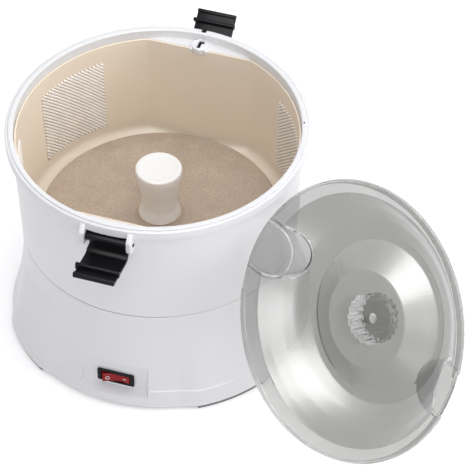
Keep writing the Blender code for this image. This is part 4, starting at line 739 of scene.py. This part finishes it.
def add_rib(builder, start, end, wrapped):
    """A half-round bar between two points of the panel, tapered at both ends."""
    start, end = Vector(start), Vector(end)
    along = (end - start).normalized()
    side = Vector((-along.y, along.x))
    stations = max(RIB_LEAST_STATIONS, int((end - start).length / RIB_STATION))
    taper = 0.5 / stations
    shares = [0, taper] + [k / stations for k in range(1, stations)] + [1 - taper, 1]
    previous = None
    for index, share in enumerate(shares):
        at_tip = index in (0, len(shares) - 1)
        size = RIB_TIP if at_tip else 1.0
        middle = start + (end - start) * share
        ring = []
        for section in range(RIB_SECTIONS + 1):
            turn = pi * section / RIB_SECTIONS
            spot = middle + side * (cos(turn) * RIB_HALF_WIDTH * size)
            depth = BACKING - RIB_SINK + RIB_HEIGHT * size * sin(turn) ** RIB_CREST
            ring.append(builder.verts.new(wrapped(spot.x, spot.y, depth)))
        if previous:
            for first in range(RIB_SECTIONS):
                corners = (previous[first], previous[first + 1], ring[first + 1], ring[first])
                builder.faces.new(corners)
            builder.faces.new((previous[0], ring[0], ring[-1], previous[-1]))
        if at_tip:
            builder.faces.new(ring)
        previous = ring


# Latches


def plate_outline(bend):
    """The latch's plate from the side, with its pivot at the origin."""
    return eased((
        (PLATE_NEAR, -1.8), (PLATE_NEAR, PLATE_UNDER, bend), (NOSE_START, PLATE_UNDER, 0.6),
        (NOSE_START, NOSE_UNDER, 0.5), (NOSE_END, NOSE_UNDER, 1.2), (NOSE_END, PLATE_TOP, 1.3),
        (PLATE_BACK, PLATE_TOP, bend + BEND_GAIN), (PLATE_BACK, 4.4, 0.6), (-3.6, 0.0),
    ), CLIP_STEPS)


def make_clip(latch):
    azimuth, opened, bend = LATCHES[latch]
    body = latch + "_latch"
    upright = Matrix(((-1, 0, 0, 0), (0, 0, -1, 0), (0, 1, 0, 0), (0, 0, 0, 1)))
    pivot = Matrix.Translation((PIVOT_R, 0, PIVOT_Z))
    swing = Matrix.Rotation(radians(opened), 4, "Y")
    place = Matrix.Rotation(radians(azimuth), 4, "Z") @ pivot @ swing @ upright
    clip = prism(latch + "_clip_plate", plate_outline(bend), -CLIP_HALF, CLIP_HALF, BLACK,
                 place, CLIP_ROUND)
    combine(clip, prism("lip", eased(LIP), -LIP_HALF, LIP_HALF, BLACK, place, LIP_ROUND), "UNION")
    sideways = Matrix(((0, 0, 1, 0), (0, 1, 0, 0), (1, 0, 0, 0), (0, 0, 0, 1)))
    for side in (-1, 1):
        flank = eased([(side * across, *rest) for across, *rest in FLANK])
        combine(clip, prism("flank", flank, -FLANK_REACH, FLANK_REACH, BLACK, place @ sideways))
    keep(clip, body, "black", latch + "_clip")
    hinge = prism(latch + "_clip_barrel", circle(BARREL_R), -BARREL_HALF, BARREL_HALF, BLACK,
                  place, BARREL_ROUND)
    keep(hinge, body, "black")
    side = Matrix.Rotation(radians(180 if latch == "rear" else 0), 4, "X")
    pin = turned(latch + "_hinge_pin", eased(PIN), BLACK, SMALL_TURNS,
                 side_view(azimuth) @ Matrix.Translation((PIVOT_R, PIVOT_Z, 0)) @ side)
    keep(pin, "body", "black", latch + "_clip_pin")


# Base


def lobe_share(angle):
    """1 over a foot, falling to 0 beside it."""
    spacing = 360 / LOBES
    off_centre = abs((degrees(angle) % spacing) - spacing / 2)
    return ramp((LOBE_HALF + LOBE_BLEND - off_centre) / LOBE_BLEND)


def base_outside(angle, height):
    share = max(0.0, 1 - height / NECK_Z) ** FLARE_POWER
    radius = NECK_R + FOOT_FLARE * share
    lobe = max(0.0, 1 - (height / LOBE_TOP) ** 2) ** LOBE_POWER
    radius += LOBE_RISE * lobe_share(angle) * lobe
    radius += BAND_STEP * ramp((BAND_Z + BAND_BLEND / 2 - height) / BAND_BLEND)
    low, high = FLAT_LEVELS
    for side, distance, width in FLATS:
        towards = sin(angle) * side
        if towards > FLAT_FACING:
            across = abs(cos(angle)) / towards * distance
            inside = ramp((width / 2 - across) / FLAT_EDGE + 0.5)
            inside *= ramp((height - low) / FLAT_EDGE + 0.5)
            inside *= ramp((high - height) / FLAT_EDGE + 0.5)
            radius += (min(radius, distance / towards) - radius) * inside
    return radius


def base_outline(angle):
    seam = SEAM_Z - SEAM_LINE / 2
    low, high = FLAT_LEVELS
    edges = [FLAT_EDGE * share for share in EDGE_SHARES]
    levels = [*EDGE_LEVELS, *(low + e for e in edges), *BAND_LEVELS, *MIDDLE_LEVELS]
    levels += [*(high + e for e in edges), *LOBE_LEVELS, *NECK_LEVELS, seam - NECK_LAST]
    foot = base_outside(angle, 0)
    points = []
    for step in range(BASE_EDGE_STEPS):
        bend = pi / 2 * step / BASE_EDGE_STEPS
        points.append((foot - BASE_EDGE * (1 - sin(bend)), BASE_EDGE * (1 - cos(bend))))
    points += [(base_outside(angle, level), level) for level in levels]
    points += [
        (NECK_R, seam - NECK_ROUND),
        (NECK_R - NECK_ROUND_MIDDLE, seam - NECK_ROUND_MIDDLE),
        (NECK_R - NECK_ROUND, seam),
        (NECK_R - BASE_WALL, seam),
        (NECK_R - BASE_WALL, DECK_Z),
        (SHAFT_HOLE_R, DECK_Z),
        (SHAFT_HOLE_R, DECK_Z - DECK_THICKNESS),
    ]
    # The inner wall follows the flat closely, so that it never crosses the outer one
    inner = [*INNER_LEVELS, high + INNER_MARGIN, high - INNER_MARGIN, low + INNER_MARGIN,
             low - INNER_MARGIN, low - INNER_FOOT]
    points += [(base_outside(angle, level) - BASE_WALL, level) for level in inner]
    points.append((foot - BASE_EDGE - BASE_WALL, 0))
    return points


def make_base():
    extra = []
    for side, distance, width in FLATS:
        for hand in (-1, 1):
            for share in CORNER_SHARES:
                across = width / 2 + FLAT_EDGE * share
                extra.append((side * pi / 2 + hand * atan2(across, distance)) % tau)
    turns = sorted([tau * k / FINE_STEPS for k in range(FINE_STEPS)] + extra)
    turns = [a for k, a in enumerate(turns) if k == 0 or a - turns[k - 1] > BASE_LEAST_TURN]
    base = turned("base_housing", base_outline, WHITE, turns)
    opening = prism("switch_opening", rounded_box(*OPENING), SWITCH_FACE - OPENING_DEPTH,
                    SWITCH_FACE + OPENING_RISE, WHITE, SWITCH_PLACE)
    combine(base, opening)
    keep(base, "body", "white", "base_shell")
    spacing = 360 / LOBES
    for number in range(LOBES):
        middle = spacing * (number + 0.5)
        start, end = middle - FOOT_HALF, middle + FOOT_HALF
        outer = base_outside(radians(middle), 0) - FOOT_INSET
        outline = arc(outer, start, end, FOOT_STEPS)
        outline += arc(outer - FOOT_WIDTH, end, start, FOOT_STEPS)
        foot = prism("rubber_foot_%d" % (number + 1), outline, FLOOR_LEVEL, FOOT_TOP, RUBBER,
                     None, FOOT_ROUND)
        keep(foot, "body", "foot", "foot_%d" % (number + 1))
    outward = Matrix.Translation((0, 0, GLAND_Z)) @ Matrix.Rotation(-pi / 2, 4, "X")
    gland = turned("inlet_gland", eased(GLAND), BLACK, SMALL_TURNS, outward)
    keep(gland, "body", "black", "cord_gland")


# Switch


def rocker_outline():
    """The rocker from above its tilting axis: its face dips between two raised ends."""
    low = -ROCKER_DIP - ROCKER_RISE
    (shoulder, shoulder_y), (side, side_y), (foot, foot_y) = (
        ROCKER_SHOULDER, ROCKER_SIDE, ROCKER_FOOT)
    outline = [(-side, side_y), (-shoulder, shoulder_y), (-ROCKER_END, low)]
    for step in range(1, ROCKER_STEPS):
        across = ROCKER_END * (2 * step / ROCKER_STEPS - 1)
        rise = ROCKER_RISE * abs(across / ROCKER_END) ** ROCKER_POWER
        outline.append((across, -ROCKER_DIP - rise))
    outline += [(ROCKER_END, low), (shoulder, shoulder_y), (side, side_y)]
    return outline + [(foot, foot_y), (-foot, foot_y)]


def make_switch():
    face = SWITCH_FACE + GAP
    bezel = prism("switch_bezel", rounded_box(*BEZEL), face, face + BEZEL_HEIGHT, BLACK,
                  SWITCH_PLACE, BEZEL_ROUND)
    housing = prism("body", rounded_box(*HOUSING), face - HOUSING_DEPTH, face + HOUSING_RISE,
                    BLACK, SWITCH_PLACE)
    combine(bezel, housing, "UNION")
    window = prism("window", rounded_box(*WINDOW), face - WINDOW_DEPTH, face + WINDOW_RISE,
                   BLACK, SWITCH_PLACE)
    combine(bezel, window)
    keep(bezel, "body", "black", "switch_housing")
    tilt = Matrix.Rotation(radians(ROCKER_TURN), 4, "Z")
    place = Matrix.Translation((0, ROCKER_Y, SWITCH_Z)) @ tilt
    rocker = prism("red_rocker", rocker_outline(), -ROCKER_HALF, ROCKER_HALF, RED, place,
                   ROCKER_ROUND)
    keep(rocker, "power_rocker", "red", "switch_rocker")

    def on_face(x, y, angle):
        turn = Matrix.Rotation(radians(angle), 4, "Z")
        return place @ Matrix.Translation((x, y, 0)) @ turn @ Matrix.Rotation(pi / 2, 4, "X")

    ring = turned("rocker_ring_mark", circle(RING_WIRE, RING_STEPS, (RING_R, 0)), MARK,
                  SMALL_TURNS, on_face(-MARK_X, RING_Y, MARK_TILT))
    keep(ring, "power_rocker", "white")
    bar = prism("rocker_bar_mark", rounded_box(*BAR), -BAR_HALF, BAR_HALF, MARK,
                on_face(MARK_X, BAR_Y, -MARK_TILT), BAR_ROUND)
    keep(bar, "power_rocker", "white")


# Disc and hub cap


def disc_outline(angle):
    crest = DISC_TOP + DISC_WAVE * ramp(max(0.0, cos(DISC_WAVES * angle)))
    return eased((
        (5.3, 98.5), (17.5, 98.5, 0.8), (20.0, DISC_TOP, 1.2), (35.5, crest, 5.0),
        (82.0, crest, 5.0), (96.2, DISC_TOP, 0.8), (97.5, 94.5, 0.5), (96.2, 93.3, 0.5),
        (5.3, 93.3),
    ))


def make_disc_and_hub():
    disc = turned("grit_disc", disc_outline, DISC, FINE_STEPS)
    keep(disc, "disc_drive", "disc", "peeling_disc")
    hub = turned("hub_knob", eased(HUB_OUTLINE, HUB_STEPS), HUB, ROUND_TURNS)
    keep(hub, "disc_drive", "hub", "hub_cap")


# Lid


def make_lid():
    outside = ((LID_HOLE, 0), LID_FOOT) + LID_TOP + ((LID_HOLE, LID_MIDDLE_Z),)
    lid = turned("clear_lid", eased(outside, LID_STEPS), CLEAR, LID_TURNS, LID_PLACE)
    for number, width in enumerate(RELIEFS):
        half = width / 2
        near = sqrt(HOLLOW_R ** 2 - half ** 2) - RELIEF_DEPTH
        outline = ((-half, near), (half, near), (half, LID_BEYOND), (-half, LID_BEYOND))
        turn = LID_PLACE @ Matrix.Rotation(pi * number, 4, "Z")
        combine(lid, prism("relief", outline, *RELIEF_Z, CLEAR, turn))
    lowered = tuple((radius, height - LID_WALL, edge) for radius, height, edge in LID_TOP[1:])
    under = ((0, HOLLOW_LOW), (HOLLOW_R, HOLLOW_LOW), HOLLOW_CORNER) + lowered
    under += ((0, LID_MIDDLE_Z - LID_WALL),)
    hollow = turned("lid_hollow", eased(under, LID_STEPS), CLEAR, LID_TURNS, LID_PLACE)
    pockets = (
        (POCKET_R + LID_WALL, POCKET_FLOOR - LID_WALL, POCKET_ROUND_OUT, hollow),
        (POCKET_R, POCKET_FLOOR, POCKET_ROUND_IN, lid),
    )
    for number in (0, 1):
        turn = LID_PLACE @ Matrix.Rotation(pi * number, 4, "Z")
        for radius, floor, edge, target in pockets:
            outline = [(radius, LID_BEYOND), (-radius, LID_BEYOND)]
            outline += arc(radius, 180, 360, POCKET_STEPS, (0, POCKET_Y))
            combine(target, prism("pocket", outline, floor, POCKET_TOP, CLEAR, turn, edge))
    combine(lid, hollow)
    # The second material is the lighter copy of the clear plastic, painted light, for the flange
    # and the faces round the pockets
    lid.data.materials.append(CLEAR_PAINTED_LIGHTER)
    back = LID_PLACE.inverted()
    for face in lid.data.polygons:
        spot = back @ (face.center / MM)
        beside = hypot(spot.x, abs(spot.y) - POCKET_Y)
        if beside < POCKET_R + LID_WALL + PAINTED_LIGHTER_MARGIN or hypot(spot.x, spot.y) > PAINTED_LIGHTER_R:
            face.material_index = 1
    lid.visible_shadow = False
    keep(lid, "lid_unit", "clear", "lid")
    knob = turned("fluted_knob", knob_outline, (KNOB, CLEAR), FLUTES * FLUTE_STEPS, LID_PLACE)
    for face in knob.data.polygons:
        if (back @ (face.center / MM)).z < KNOB_STEM_Z:
            face.material_index = 1
    knob.visible_shadow = False
    keep(knob, "lid_unit", "clear", "lid_knob")


def knob_outline(angle):
    flute = FLUTE_DEPTH * (0.5 + 0.5 * cos(FLUTES * angle)) ** FLUTE_POWER
    return eased((
        (0, 32.4), (13.0, 32.4, 0.5), (13.9, 34.2, 0.5), (19.5 - flute, 34.2, 1.5),
        (21.0 - flute, 18.3, 0.4), (4.0, 18.3), (4.0, 12.3, 0.5), (0, 12.3),
    ), KNOB_STEPS)


# Parts inside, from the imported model


def dress_inner_parts():
    for name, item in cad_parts.items():
        finish = STEEL if "screw" in name else INNER_FINISHES.get(name)
        if finish:
            item.data.materials.clear()
            item.data.materials.append(finish)


# Stage


def seen_rays(tree):
    """1 for rays that show a surface: from the camera, in a gloss or through clear plastic."""
    path = node(tree, "ShaderNodeLightPath")
    seen = path.outputs["Is Camera Ray"]
    for extra in ("Is Glossy Ray", "Is Transmission Ray"):
        both = node(tree, "ShaderNodeMath", operation="MAXIMUM")
        tree.links.new(seen, both.inputs[0])
        tree.links.new(path.outputs[extra], both.inputs[1])
        seen = both.outputs[0]
    return seen


def make_stage():
    made, tree, shader, place = start_material("pale_floor")
    drift = noise(tree, place, scale=3.0, detail=2.0)
    tone = blended(tree, drift, (0.80, 0.80, 0.81), (0.83, 0.83, 0.84))
    tree.links.new(tone, shader.inputs["Base Color"])
    shader.inputs["Roughness"].default_value = FLOOR_ROUGHNESS
    shader.inputs["Specular IOR Level"].default_value = FLOOR_GLOSS
    share = node(tree, "ShaderNodeMath", operation="MULTIPLY")
    share.inputs[1].default_value = FLOOR_GLOW
    tree.links.new(seen_rays(tree), share.inputs[0])
    tree.links.new(share.outputs[0], shader.inputs["Emission Strength"])
    shader.inputs["Emission Color"].default_value = (1, 1, 1, 1)
    builder = bmesh.new()
    bmesh.ops.create_grid(
        builder, x_segments=FLOOR_SQUARES, y_segments=FLOOR_SQUARES, size=FLOOR_HALF)
    floor = finished("floor", builder, made, Matrix.Translation((0, 0, FLOOR_LEVEL)))


def make_world():
    world = bpy.data.worlds.new("studio")
    bpy.context.scene.world = world
    world.use_nodes = True
    tree = world.node_tree
    ground = tree.nodes["Background"]
    tone = blended(tree, seen_rays(tree), WORLD_LIGHT, WORLD_SEEN)
    tree.links.new(tone, ground.inputs["Color"])
    ground.inputs["Strength"].default_value = 1.0


def make_lamp(name, power, size, location, diffuse=True, gloss=True):
    """A soft light that looks at the object; a card shows only in the gloss."""
    data = bpy.data.lights.new(name, "AREA")
    data.energy = power
    data.shape = "RECTANGLE"
    data.size, data.size_y = size
    lamp = bpy.data.objects.new(name, data)
    bpy.context.scene.collection.objects.link(lamp)
    lamp.location = location
    lamp.rotation_euler = (LAMP_AIM - Vector(location)).to_track_quat("-Z", "Y").to_euler()
    lamp.visible_camera = False
    lamp.visible_diffuse = diffuse
    lamp.visible_transmission = False
    lamp.visible_glossy = gloss


def make_camera():
    data = bpy.data.cameras.new("camera")
    data.sensor_width = CAMERA_SENSOR
    data.lens = CAMERA_LENS
    camera = bpy.data.objects.new("camera", data)
    bpy.context.scene.collection.objects.link(camera)
    ahead = Vector(CAMERA_AHEAD).normalized()
    right = ahead.cross(Vector((0, 0, 1))).normalized()
    up = right.cross(ahead)
    turn = Matrix((right, up, -ahead)).transposed().to_4x4()
    camera.matrix_world = Matrix.Translation(CAMERA_SPOT) @ turn
    bpy.context.scene.camera = camera


make_drum()
make_liner()
for panel_number, panel_centre in enumerate(PANEL_CENTRES):
    make_panel(panel_number + 1, panel_centre)
for latch_name in LATCHES:
    make_clip(latch_name)
make_base()
make_switch()
make_disc_and_hub()
make_lid()
dress_inner_parts()
make_stage()
make_world()
make_camera()
make_lamp("right_fill", 24.0, (1.4, 1.4), (2.3, 0.2, 1.2), gloss=False)
make_lamp("top_light", 18.0, (1.4, 1.4), (0.1, 0.3, 2.2))
make_lamp("high_light", 11.5, (1.2, 1.2), (0.6, -1.4, 2.4))
make_lamp("front_card", 98.0, (2.6, 1.5), (1.47, -1.88, 0.78), diffuse=False)
make_lamp("high_card", 50.0, (1.8, 1.8), (-0.13, -1.47, 2.0), diffuse=False)
make_lamp("key_light", 2.5, (1.8, 1.8), (1.45, -1.72, 1.1), gloss=False)
bpy.context.scene.view_settings.view_transform = "Standard"
